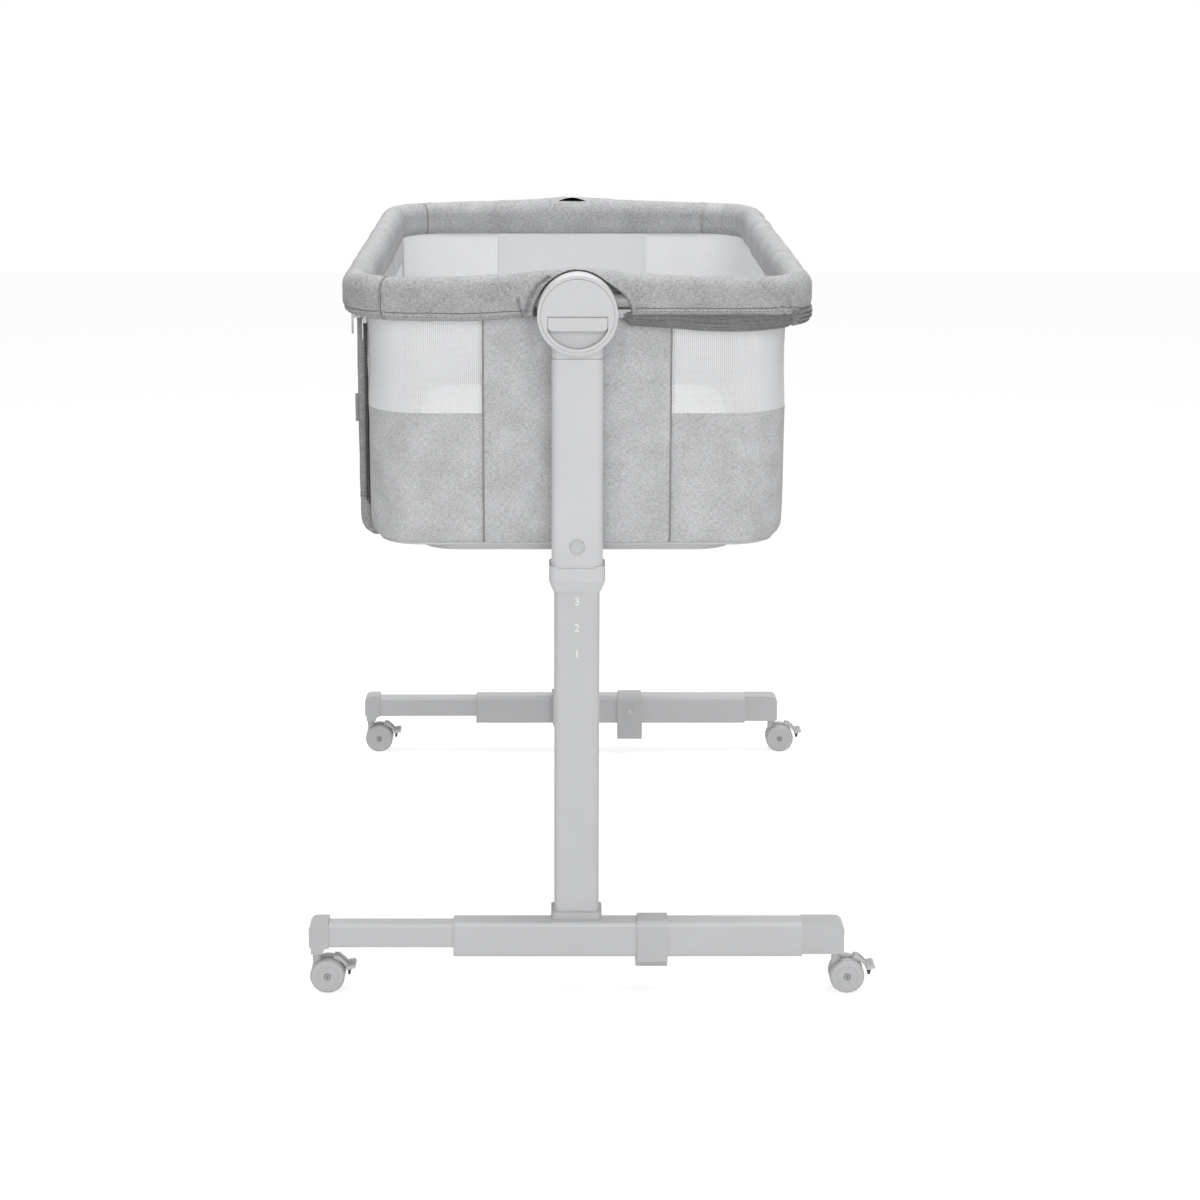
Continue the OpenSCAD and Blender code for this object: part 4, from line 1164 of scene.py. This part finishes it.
def swell(obj, voxel, pressure, cap):
    """Remeshes a closed block, lets air pressure fill it as cloth, and caps each point's way."""
    bpy.context.view_layer.objects.active = obj
    obj.select_set(True)
    remesh = obj.modifiers.new("remesh", "REMESH")
    remesh.mode = "VOXEL"
    remesh.voxel_size = voxel
    bpy.ops.object.modifier_apply(modifier="remesh")
    before = [v.co.copy() for v in obj.data.vertices]
    cloth = obj.modifiers.new("cloth", "CLOTH")
    cloth.settings.use_pressure = True
    cloth.settings.uniform_pressure_force = pressure
    cloth.settings.effector_weights.gravity = 0
    cloth.settings.quality = 4
    scene = bpy.context.scene
    for frame_number in range(1, SWELL_FRAMES + 1):
        scene.frame_set(frame_number)
    bpy.ops.object.modifier_apply(modifier="cloth")
    for vertex, start in zip(obj.data.vertices, before):
        way = vertex.co - start
        if way.length > cap:
            vertex.co = start + way * (cap / way.length)
    obj.data.update()
    scene.frame_set(1)


# %% Mattress
pad = in_scene("mattress_pad", mattress_block())
swell(pad, voxel=0.008, pressure=4.0, cap=0.006)
for vertex in pad.data.vertices:
    vertex.co.z = max(vertex.co.z, mat_low[2] + 0.0002)
    vertex.co.x = min(max(vertex.co.x, mat_low[0]), mat_high[0])
    vertex.co.y = min(max(vertex.co.y, mat_low[1]), mat_high[1])
pad.data.polygons.foreach_set("use_smooth", [True] * len(pad.data.polygons))
pad.data.materials.append(cover_cloth)
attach(pad, "basket")
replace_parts(pad, "mattress")
print("mattress faces:", len(pad.data.polygons))

# %% [markdown]
# Piping hides the mattress's seams and the basket's bottom seam. Both are thin cords that
# follow an outline. The basket's cord sags a little here and there.

# %% Piping
SEAM_Z = BASE_Z + 0.0012
PIPING_SAG = 0.0016
seam_out = WALL_R - liner_inset(SEAM_Z) + 0.0006
bottom = [at(s, seam_out, SEAM_Z - PIPING_SAG * max(0.0, ripple((s, 2, 0), 0.09, 14)))
          for s in steps(0, LAP, 0.006)[:-1]]
cord("bottom_piping", [bottom], 0.0016, UPRIGHT, pale_thread, "basket", closed=True)
for label, share, inset in (("top", 0.86, 0.0068), ("bottom", 0.1, 0.0065)):
    z = mat_low[2] + share * MAT_T
    outline = rounded_outline(MAT_HALF_X - inset, MAT_HALF_Y - inset, MAT_CORNER_R, 12)
    rim = [Vector((MID_X + x, y, z)) for x, y in outline]
    cord(f"mattress_{label}_piping", [rim], 0.0018, UPRIGHT, pale_thread, "basket",
         closed=True)

# %% [markdown]
# ## What repeats
# Stitches, zip teeth and axle caps repeat along a path or on each wheel. Geometry Nodes
# place copies of one small shape and turn each along its path or face, which is quicker to
# change than copies placed one by one.

# %% A tree that sets copies along a path
def geometry_tree(name, inputs):
    tree = bpy.data.node_groups.new(name, "GeometryNodeTree")
    sockets = {}
    for label, kind, default in [("Geometry", "Geometry", None), *inputs]:
        socket = tree.interface.new_socket(name=label, in_out="INPUT",
                                           socket_type="NodeSocket" + kind)
        if default is not None:
            socket.default_value = default
        sockets[label] = socket.identifier
    tree.interface.new_socket(name="Geometry", in_out="OUTPUT", socket_type="NodeSocketGeometry")
    put, out = tree.nodes.new("NodeGroupInput").outputs, tree.nodes.new("NodeGroupOutput").inputs
    return tree, put, out, sockets


def painted(tree, geometry, material):
    return result(tree, "GeometryNodeSetMaterial", {"Geometry": geometry, "Material": material})


def path_tree(name, shape_kind):
    """Copies of a small rounded bar or a block, spaced evenly along a path."""
    tree, put, out, sockets = geometry_tree(
        name, [("Pitch", "Float", 0.005), ("Length", "Float", 0.003), ("Thick", "Float", 0.0007),
               ("Width", "Float", 0.0007), ("Material", "Material", None)])
    points = result(tree, "GeometryNodeResampleCurve",
                    {"Curve": put["Geometry"], "Length": put["Pitch"]}, mode="LENGTH")
    turned = result(tree, "FunctionNodeAlignEulerToVector",
                    {"Vector": result(tree, "GeometryNodeInputTangent")}, axis="X")
    if shape_kind == "bar":
        body = result(tree, "GeometryNodeMeshUVSphere", {"Segments": 6, "Rings": 5, "Radius": 0.5})
    else:
        body = result(tree, "GeometryNodeMeshCube")
    size = result(tree, "ShaderNodeCombineXYZ", {0: put["Length"], 1: put["Width"],
                                                 2: put["Thick"]})
    scaled = result(tree, "GeometryNodeTransform", {"Geometry": body, "Scale": size})
    copies = result(tree, "GeometryNodeInstanceOnPoints",
                    {"Points": points, "Instance": scaled, "Rotation": turned})
    real = result(tree, "GeometryNodeRealizeInstances", {0: copies})
    tree.links.new(painted(tree, real, put["Material"]), out["Geometry"])
    return tree, sockets


STITCHES = path_tree("stitch row", "bar")
TEETH = path_tree("zip teeth", "block")


def baked(source, tree_and_sockets, values):
    """Runs a tree on an object and gives the result as a plain mesh."""
    tree, sockets = tree_and_sockets
    modifier = source.modifiers.new("copies", "NODES")
    modifier.node_group = tree
    for label, value in values.items():
        modifier[sockets[label]] = value
    return plain_mesh(source)


def along_paths(name, paths, tree, sizes, material, body):
    """Copies along each of several lines, as one piece."""
    curve = bpy.data.curves.new(name + "_path", "CURVE")
    curve.dimensions = "3D"
    for points in paths:
        spline = curve.splines.new("POLY")
        spline.points.add(len(points) - 1)
        spline.points.foreach_set("co", [c for p in points for c in (*p, 1.0)])
    values = dict(zip(("Pitch", "Length", "Thick", "Width"), sizes), Material=material)
    mesh = baked(in_scene(name + "_path", curve), tree, values)
    mesh.name = name
    print(name, "faces:", len(mesh.polygons))
    return piece(name, mesh, material, body)


# %% [markdown]
# The rail's hem has a seam line and a row of stitches just below it. The seam line is a dark
# cord: partly the seam's thread, partly painted shade of the hem's groove. Both follow the same
# surface function as the cover, and both stop short of the hubs.

# %% Hem seams and stitches of the rails
RAIL_STITCH = (0.0052, 0.0034, 0.0008, 0.0008)
HUB_CLEAR = 0.0615
HEM_HOLD = 0.0035


def hem_path(start, end, below, proud):
    """A line on the rail's outer side, a little below the hem's seam."""
    points = []
    for s in steps(start, end, 0.004):
        up = hem_up(from_front(s)) - below
        drop = max(0.0, -up - (PAD_HALF_H - PAD_HALF_W)) / PAD_HALF_W
        out = PAD_HALF_W * math.sqrt(1 - min(1.0, drop) ** 2)
        points.append(rail_point(s, out, up, proud=proud))
    return points


fixed_spans = [(SEAM_FRONT - LAP + 0.003, -HUB_CLEAR),
               (HUB_CLEAR + 0.004, REAR - HUB_CLEAR - 0.004),
               (REAR + HUB_CLEAR, SEAM_REAR - 0.003)]
side_spans = [(SEAM_REAR + SEAM_GAP + 0.004, SEAM_FRONT - SEAM_GAP - 0.004)]
for label, spans, body in (("fixed", fixed_spans, "basket"), ("side", side_spans, "drop_side")):
    # The seam cord is dark thread colour laid in the groove: part thread, part painted shade.
    cord(f"{label}_rail_seam_and_shadow", [hem_path(*span, 0.0, 0.0002) for span in spans], 0.0006, UPRIGHT,
         stitch_thread_and_shadow, body, sides=6)
    along_paths(f"{label}_rail_stitches", [hem_path(*span, HEM_HOLD, 0.0) for span in spans],
                STITCHES, RAIL_STITCH, stitch_thread_and_shadow, body)

# %% Stitches beside the panel seams and below the nets
WALL_STITCH = (0.0045, 0.003, 0.0007, 0.0007)
NET_HEM_Z = NET_LOW_Z - 0.004
wall_rows = []
for label, middle in MIDDLES:
    for side in (-1, 1):
        offset = middle + side * (PANEL_HALF + 0.0035)
        wall_rows.append([at(offset, WALL_R + 0.0036 - liner_inset(z), z)
                          for z in steps(PANEL_LOW, NET_TOP_Z, 0.006)])
for start, end in ((PANEL_HALF + 0.006, REAR - PANEL_HALF - 0.006),
                   (REAR + PANEL_HALF + 0.006, REAR + corner_end),
                   (-corner_end, -PANEL_HALF - 0.006)):
    wall_rows.append([at(s, WALL_R + 0.0001, NET_HEM_Z) for s in steps(start, end, 0.006)])
along_paths("wall_stitches", wall_rows, STITCHES, WALL_STITCH, pale_thread, "basket")

# %% Zip teeth
TOOTH = (0.0026, 0.0015, 0.0019, 0.0019)
TEETH_X = WALL_X - 0.0026
for label, side in ENDS:
    lines = [[Vector((TEETH_X, side * ZIP_Y + offset, z))
              for z in steps(SILL_Z + 0.0045, ZIP_TOP_Z + 0.0004, 0.01)]
             for offset in (-0.0013, 0.0013)]
    along_paths(f"{label}_zip_teeth", lines, TEETH, TOOTH, zip_dark_and_shade, "basket")

# %% [markdown]
# Each zip slider carries a small bail and a flat pull that hangs beside the bound edge.

# %% Zip pulls
def flat_bar(name, low, high, round_by, material, body):
    """A box with rounded edges between two corners."""
    bm = bmesh.new()
    bmesh.ops.create_cube(bm, size=1)
    for v in bm.verts:
        v.co = Vector([low[k] + (v.co[k] + 0.5) * (high[k] - low[k]) for k in range(3)])
    bmesh.ops.bevel(bm, geom=list(bm.edges), offset=round_by, segments=3, profile=0.6,
                    affect="EDGES")
    bmesh.ops.recalc_face_normals(bm, faces=bm.faces)
    return piece(name, mesh_from(name, bm, 35), material, body)


for label, side in ENDS:
    low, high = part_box(f"{label}_zip_slider")
    y_mid = (low[1] + high[1]) / 2
    for part, half_y, x_span, z_span, round_by in (
            ("pull", 0.0024, (-0.0118, -0.0098), (0.7505, 0.7735), 0.0009),
            ("bail", 0.0012, (-0.0106, 0.0005), (0.7690, 0.7712), 0.0006)):
        flat_bar(f"{label}_zip_{part}", (low[0] + x_span[0], y_mid - half_y, z_span[0]),
                 (low[0] + x_span[1], y_mid + half_y, z_span[1]), round_by, zip_steel,
                 f"{label}_zip_slider")

# %% [markdown]
# In the gap on the right of each hub a short arm shows, which holds the rail to the hub.

# %% Rail arms
for label, side in ENDS:
    near, far = sorted((side * 0.408, side * 0.419))
    left, right = sorted((MID_X - side * 0.040, MID_X - side * 0.064))
    flat_bar(f"{label}_rail_arm", (left, near, HUB_Z - 0.0078), (right, far, HUB_Z + 0.0022),
             0.0025, cap_plastic, "basket")

# %% [markdown]
# A thin dark cord paints the shadow line where the hub's neck meets the sleeve, and a fine ring
# runs round the sight window, whose clear lens shows the figure of the level.

# %% Neck lines and sight windows
sleeve_low, sleeve_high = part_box("front_sleeve")
lens_low, lens_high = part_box("front_sight_lens")
LENS_R = (lens_high[2] - lens_low[2]) / 2
LENS_Z = (lens_high[2] + lens_low[2]) / 2
SLEEVE_FACE_Y = -sleeve_low[1]
SLEEVE_MID_Y = (sleeve_low[1] + sleeve_high[1]) / 2
SLEEVE_HALF = [(sleeve_high[k] - sleeve_low[k]) / 2 for k in (0, 1)]
SLEEVE_CORNER_R = 0.006
for label, side in ENDS:
    # The neck line is painted shadow: a dark cord along the gap at the top of the sleeve.
    neck = [Vector((MID_X + x, -side * SLEEVE_MID_Y + y, sleeve_high[2]))
            for x, y in rounded_outline(*SLEEVE_HALF, SLEEVE_CORNER_R, 6)]
    cord(f"{label}_neck_painted_shadow", [neck], 0.0003, UPRIGHT, stitch_thread_and_shadow, "basket",
         closed=True, sides=6)
    ring = [Vector((MID_X + (LENS_R + 0.0003) * math.cos(a), side * (SLEEVE_FACE_Y + 0.0001),
                    LENS_Z + (LENS_R + 0.0003) * math.sin(a))) for a in round_angles(40)]
    cord(f"{label}_window_ring", [ring], 0.00045, Vector((0, 1, 0)), cap_plastic, "basket",
         closed=True)

# %% [markdown]
# ## Marks and small hard parts
# White figures on each lower post name the levels. Text becomes a mesh first and is then
# set upright on the post's face.

# %% Level figures
FIGURE_H = 0.0088
FIGURE_Z = (0.401, 0.4315, 0.462, 0.492, 0.5225)


def figure_mesh(text):
    curve = bpy.data.curves.new("figure", "FONT")
    curve.body = text
    curve.size = 0.0125
    curve.align_x = "CENTER"
    curve.extrude = 0.00012
    curve.resolution_u = 4
    return plain_mesh(in_scene("figure", curve))


for label, side in ENDS:
    turn = Matrix.Rotation(math.pi / 2, 4, "X")
    if side > 0:
        turn = Matrix.Rotation(math.pi, 4, "Z") @ turn
    bm = bmesh.new()
    for number, z in enumerate(FIGURE_Z, start=1):
        mesh = figure_mesh(str(number))
        spot = Matrix.Translation((MID_X, side * (POST_FACE_Y + 0.0001), z - FIGURE_H / 2))
        mesh.transform(spot @ turn)
        bm.from_mesh(mesh)
    bmesh.ops.remove_doubles(bm, verts=bm.verts, dist=0.00001)
    bmesh.ops.recalc_face_normals(bm, faces=bm.faces)
    piece(f"{label}_level_figures", mesh_from(f"{label}_level_figures", bm, 20), numeral_paint,
          f"{label}_base")

# %% Places of the castors
CASTORS = []
for end, side in ENDS:
    for hand in ("left", "right"):
        low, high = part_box(f"castor_wheels_{end}_{hand}")
        axle = [(low[k] + high[k]) / 2 for k in range(3)]
        CASTORS.append((f"{end}_{hand}", low, high, axle))
        print(end, hand, "wheels turn at", [round(v, 4) for v in axle])

# %% [markdown]
# An axle cap is a low disc with a dark ring and a cross on it; the dark ring is painted
# shadow of the gap round the cap. One tree makes the cap from a disc, a ring and two bars,
# and sets it on each small face of a seed mesh, turned the way the face looks.

# %% A tree for the axle caps
def cap_tree():
    tree, put, out, sockets = geometry_tree(
        "crossed cap", [("Radius", "Float", 0.0036), ("Height", "Float", 0.0012),
                        ("Material", "Material", None), ("Dark", "Material", None)])

    def radii(share):
        return calc(tree, "MULTIPLY", put["Radius"], share)

    def heights(share):
        return calc(tree, "MULTIPLY", put["Height"], share)

    def circle(count, share):
        return result(tree, "GeometryNodeCurvePrimitiveCircle",
                      {"Resolution": count, "Radius": radii(share)})

    disc = result(tree, "GeometryNodeMeshCylinder",
                  {"Vertices": 20, "Radius": put["Radius"], "Depth": put["Height"]})
    # This ring gets the dark material: it paints the shadow of the gap round the cap.
    rim = result(tree, "GeometryNodeCurveToMesh",
                 {"Curve": circle(20, 0.86), "Profile Curve": circle(6, 0.12)})
    top = result(tree, "ShaderNodeCombineXYZ", {2: heights(0.5)})
    raised = []
    for first, second in ((1.1, 0.26), (0.26, 1.1)):
        size = result(tree, "ShaderNodeCombineXYZ",
                      {0: radii(first), 1: radii(second), 2: heights(1.06)})
        raised.append(result(tree, "GeometryNodeMeshCube", {"Size": size}))
    raised.append(result(tree, "GeometryNodeTransform", {"Geometry": rim, "Translation": top}))
    dark, cap = [place(tree, "GeometryNodeJoinGeometry") for k in range(2)]
    for line in raised:
        tree.links.new(line, dark.inputs[0])
    tree.links.new(painted(tree, disc, put["Material"]), cap.inputs[0])
    tree.links.new(painted(tree, dark.outputs[0], put["Dark"]), cap.inputs[0])
    marked = result(tree, "GeometryNodeStoreNamedAttribute",
                    {"Geometry": put["Geometry"], "Name": "facing",
                     "Value": result(tree, "GeometryNodeInputNormal")},
                    data_type="FLOAT_VECTOR", domain="FACE")
    facing = result(tree, "GeometryNodeInputNamedAttribute", {"Name": "facing"},
                    data_type="FLOAT_VECTOR")
    turned = result(tree, "FunctionNodeAlignEulerToVector", {"Vector": facing}, axis="Z")
    copies = result(tree, "GeometryNodeInstanceOnPoints",
                    {"Points": result(tree, "GeometryNodeMeshToPoints", {"Mesh": marked},
                                      mode="FACES"),
                     "Instance": cap.outputs[0], "Rotation": turned})
    tree.links.new(result(tree, "GeometryNodeRealizeInstances", {0: copies}), out["Geometry"])
    return tree, sockets


CAPS = cap_tree()

# %% Axle caps on both sides of each castor
CAP_LOOK = {"Radius": 0.0036, "Height": 0.0012, "Material": castor_plastic,
            "Dark": stitch_thread_and_shadow}
CAP_SINK = 0.0008
SEED_HALF = 0.0002
for castor, low, high, axle in CASTORS:
    bm = bmesh.new()
    for y, side in ((low[1] + CAP_SINK, -1), (high[1] - CAP_SINK, 1)):
        corners = [bm.verts.new((axle[0] + dx * SEED_HALF, y, axle[2] + dz * SEED_HALF))
                   for dx, dz in ((-1, -1), (1, -1), (1, 1), (-1, 1))]
        bm.faces.new(corners if side < 0 else corners[::-1])
    mesh = baked(in_scene("cap_seeds", mesh_from("cap_seeds", bm)), CAPS, CAP_LOOK)
    mesh.name = f"{castor}_axle_caps"
    mesh.set_sharp_from_angle(angle=math.radians(35))
    caps = in_scene(f"{castor}_axle_caps", mesh)
    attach(caps, f"castor_wheels_{castor}")

# %% [markdown]
# The castors are slim: a turned neck, a narrow body between the wheels, and a brake lever
# that curves round the wheels and ends in a ribbed plate with a dark shoe below it. Their
# outlines are points right and up from the axle, in millimetres. The neck's points are its
# radius and its height above the floor.

# %% Outlines of the castors' parts
MM = 0.001
DISC_R = 13.5
LINK = [(-13.0, 3.6), (-16.6, 9.0), (-16.8, 20.0), (-8.2, 20.0), (-7.8, 13.6), (-2.0, 14.0),
        (4.5, 15.0), (7.2, 20.6), (10.5, 22.7), (13.2, 21.4), (13.9, 18.4), (12.6, 12.6),
        (13.3, 6.0)]
BODY_DISC = [(DISC_R * math.cos(math.radians(a)), DISC_R * math.sin(math.radians(a)))
             for a in range(10, -191, -10)]
EARS = [(7.5, 23.2), (13.5, 22.6), (19.5, 17.5), (24.2, 12.0), (22.4, 8.8), (20.3, 11.0),
        (16.8, 15.0), (12.5, 18.2), (10.0, 19.2), (7.5, 20.6)]
PLATE = [(21.6, 9.0), (23.0, 7.5), (27.0, 8.2), (32.2, 9.8), (32.6, 11.2), (30.5, 13.4),
         (26.0, 12.6), (22.6, 12.0)]
RIB = ((0, 0), (0.8, 0), (0.8, 1.1), (0, 1.1))
SHOE = [(23.6, 2.2), (26.4, 1.8), (27.6, 8.8), (23.8, 8.6)]
NECK = [(4.0, 75.5), (4.0, 46.9), (7.0, 46.6), (7.0, 44.6), (5.0, 44.0), (4.9, 40.6),
        (5.3, 40.1), (5.3, 39.1), (4.9, 38.6), (4.9, 36.4), (5.3, 35.9), (5.3, 34.9),
        (4.9, 34.4), (4.9, 30.0), (4.0, 28.0)]
STEM_BACK = 0.0125
EAR_Y = 0.0057


def prism(bm, outline, axle, half, round_by, shift=0.0):
    """A plate with rounded edges that reaches half its thickness either way on the axle."""
    y = axle[1] + shift
    outlines = [[bm.verts.new((axle[0] + a * MM, y + way, axle[2] + b * MM)) for a, b in outline]
                for way in (-half, half)]
    faces = [bm.faces.new(outlines[0]), bm.faces.new(outlines[1][::-1]), *band(bm, *outlines)]
    bmesh.ops.recalc_face_normals(bm, faces=faces)
    edges = list(dict.fromkeys(e for f in faces for e in f.edges))
    bmesh.ops.bevel(bm, geom=edges, offset=round_by, segments=2, profile=0.6, affect="EDGES")


def turned(bm, profile, x, y, around):
    """A turned shape on an upright axis, from points of a profile."""
    rows = [[bm.verts.new((x + r * MM * math.cos(a), y + r * MM * math.sin(a), z * MM))
             for a in round_angles(around)] for r, z in profile]
    faces = [bm.faces.new(rows[0]), bm.faces.new(rows[-1][::-1])]
    for upper, lower in zip(rows, rows[1:]):
        faces += band(bm, upper, lower)
    bmesh.ops.recalc_face_normals(bm, faces=faces)


# %% Castor bodies and brake levers
def castor_part(castor, part, bm, material, body):
    return piece(f"{castor}_{part}", mesh_from(part, bm, 35), material, body)


for castor, low, high, axle in CASTORS:
    body, brake = f"castor_body_{castor}", f"castor_brake_{castor}"
    bm = bmesh.new()
    prism(bm, LINK + BODY_DISC, axle, 0.0042, 0.0004)
    turned(bm, NECK, axle[0] - STEM_BACK, axle[1], 28)
    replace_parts(castor_part(castor, "castor_frame", bm, castor_plastic, body), body)
    bm = bmesh.new()
    for ear in (-EAR_Y, EAR_Y):
        prism(bm, EARS, axle, 0.001, 0.0003, shift=ear)
    prism(bm, PLATE, axle, 0.0115, 0.0006)
    for k in range(3):
        prism(bm, [(24.6 + 2 * k + a, 12.1 + 0.35 * k + b) for a, b in RIB], axle, 0.0100, 0.0002)
    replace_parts(castor_part(castor, "brake_lever", bm, castor_plastic, brake), brake)
    bm = bmesh.new()
    prism(bm, SHOE, axle, 0.0105, 0.0005)
    castor_part(castor, "brake_shoe", bm, dark_rubber, brake)

# %% [markdown]
# The castor wheels get a softer tread. It is a band with rounded edges and fine ribs that
# lies a hair outside the wheel's rim.

# %% Castor treads
RIBS = 90
RIB_DEPTH = 0.00014
TREAD_PROFILE = ((-0.86, -0.0009), (-0.8, 0.0001), (-0.4, 0.0003), (0.0, 0.00035),
                 (0.4, 0.0003), (0.8, 0.0001), (0.86, -0.0009))
WHEEL_GAP = 0.009
WHEEL_EDGE = 0.0005


def tread_band(name, axle, y0, y1, radius, body):
    half, middle = (y1 - y0) / 2, (y0 + y1) / 2
    rings = []
    for k in range(2 * RIBS):
        a = math.pi * k / RIBS
        rib = RIB_DEPTH if k % 2 else 0.0
        rings.append([Vector((axle[0] + (radius + o - rib) * math.cos(a), middle + w * half,
                              axle[2] + (radius + o - rib) * math.sin(a)))
                      for w, o in TREAD_PROFILE])
    mesh = loft(name, rings, [k * 0.0007 for k in range(2 * RIBS + 1)],
                [j * 0.001 for j in range(len(TREAD_PROFILE) + 1)], lap=True)
    return piece(name, mesh, tread_rubber, body)


for castor, low, high, axle in CASTORS:
    body, radius = f"castor_wheels_{castor}", (high[2] - low[2]) / 2 - 0.0004
    tread_band(f"{castor}_tread_1", axle, low[1] + WHEEL_EDGE, axle[1] - WHEEL_GAP / 2, radius,
               body)
    tread_band(f"{castor}_tread_2", axle, axle[1] + WHEEL_GAP / 2, high[1] - WHEEL_EDGE, radius,
               body)

# %% [markdown]
# ## Light, floor and camera
# One broad soft lamp behind the camera lights the fronts, one hangs above, and two small
# ones above the long sides lift the tops of the side rails. The floor and the world are
# white only to the camera and in reflections. The floor keeps part of its shade as a
# diffuse surface, so faint shadows stay below the castors.

# %% White surroundings
def seen_directly(tree):
    """1 where a ray from the camera, a reflection or a clear part meets the surface."""
    path = place(tree, "ShaderNodeLightPath").outputs
    seen = calc(tree, "ADD", path["Is Camera Ray"], path["Is Glossy Ray"])
    seen = calc(tree, "ADD", seen, path["Is Transmission Ray"])
    return calc(tree, "MINIMUM", seen, 1.0)


def white_world(strength):
    world = bpy.data.worlds.new("studio")
    bpy.context.scene.world = world
    world.use_nodes = True
    tree = world.node_tree
    background = tree.nodes["Background"]
    background.inputs["Color"].default_value = (1, 1, 1, 1)
    level = spread(tree, seen_directly(tree), 0.0, 1.0, strength, 1.0)
    tree.links.new(level, background.inputs["Strength"])


def studio_floor(kept_shade):
    bm = bmesh.new()
    bmesh.ops.create_grid(bm, x_segments=1, y_segments=1, size=6)
    floor = in_scene("floor", mesh_from("floor", bm))
    material = bpy.data.materials.new("studio floor")
    material.use_nodes = True
    tree = material.node_tree
    tree.nodes.clear()
    seen = seen_directly(tree)
    where = place(tree, "ShaderNodeTexCoord").outputs["Object"]
    away = place(tree, "ShaderNodeVectorMath", {0: where}, operation="LENGTH").outputs["Value"]
    kept = spread(tree, away, 0.7, 1.5, kept_shade, 0.2)
    tone = result(tree, "ShaderNodeCombineColor", {0: kept, 1: kept, 2: kept})
    shade = result(tree, "ShaderNodeBsdfDiffuse",
                   {"Color": blended(tree, seen, (0.8, 0.8, 0.8, 1.0), tone)})
    glow_level = calc(tree, "MULTIPLY", seen, calc(tree, "MULTIPLY_ADD", kept, -0.5, 1.0))
    glow = result(tree, "ShaderNodeEmission", {"Strength": glow_level})
    both = result(tree, "ShaderNodeAddShader", {0: shade, 1: glow})
    place(tree, "ShaderNodeOutputMaterial", {"Surface": both})
    floor.data.materials.append(material)


def soft_lamp(name, spot, target, size, watts):
    data = bpy.data.lights.new(name, "AREA")
    data.shape = "DISK"
    data.size = size
    data.energy = watts
    lamp = in_scene(name, data)
    lamp.location = spot
    lamp.rotation_euler = (Vector(target) - Vector(spot)).to_track_quat("-Z", "Y").to_euler()


white_world(0.32)
studio_floor(0.5)
for side in (-1, 1):
    soft_lamp("side lamp", (1.1 * side, 0.5, 2.8), (0.25 * side, 0, 0.8), 0.9, 19)
soft_lamp("top lamp", (0.1, -0.2, 3.2), (0, 0, 0.6), 2.4, 32)
soft_lamp("front lamp", (0.45, -6.0, 1.9), (0, -0.4, 0.6), 5.2, 186)

# %% [markdown]
# The camera stands where the photograph was taken: a little above the rail, looking down
# eleven and a half degrees. The shift only frames the picture.

# %% Camera
camera_data = bpy.data.cameras.new("photograph")
camera_data.lens = 75.81
camera_data.sensor_width = 36.0
camera_data.shift_x = 0.0392
camera_data.shift_y = -0.12
camera = in_scene("photograph", camera_data)
camera.location = (MID_X - 0.027, -3.1845, 1.1865)
camera.rotation_euler = (math.radians(78.5), 0, 0)
bpy.context.scene.camera = camera
bpy.context.scene.view_settings.view_transform = "Standard"
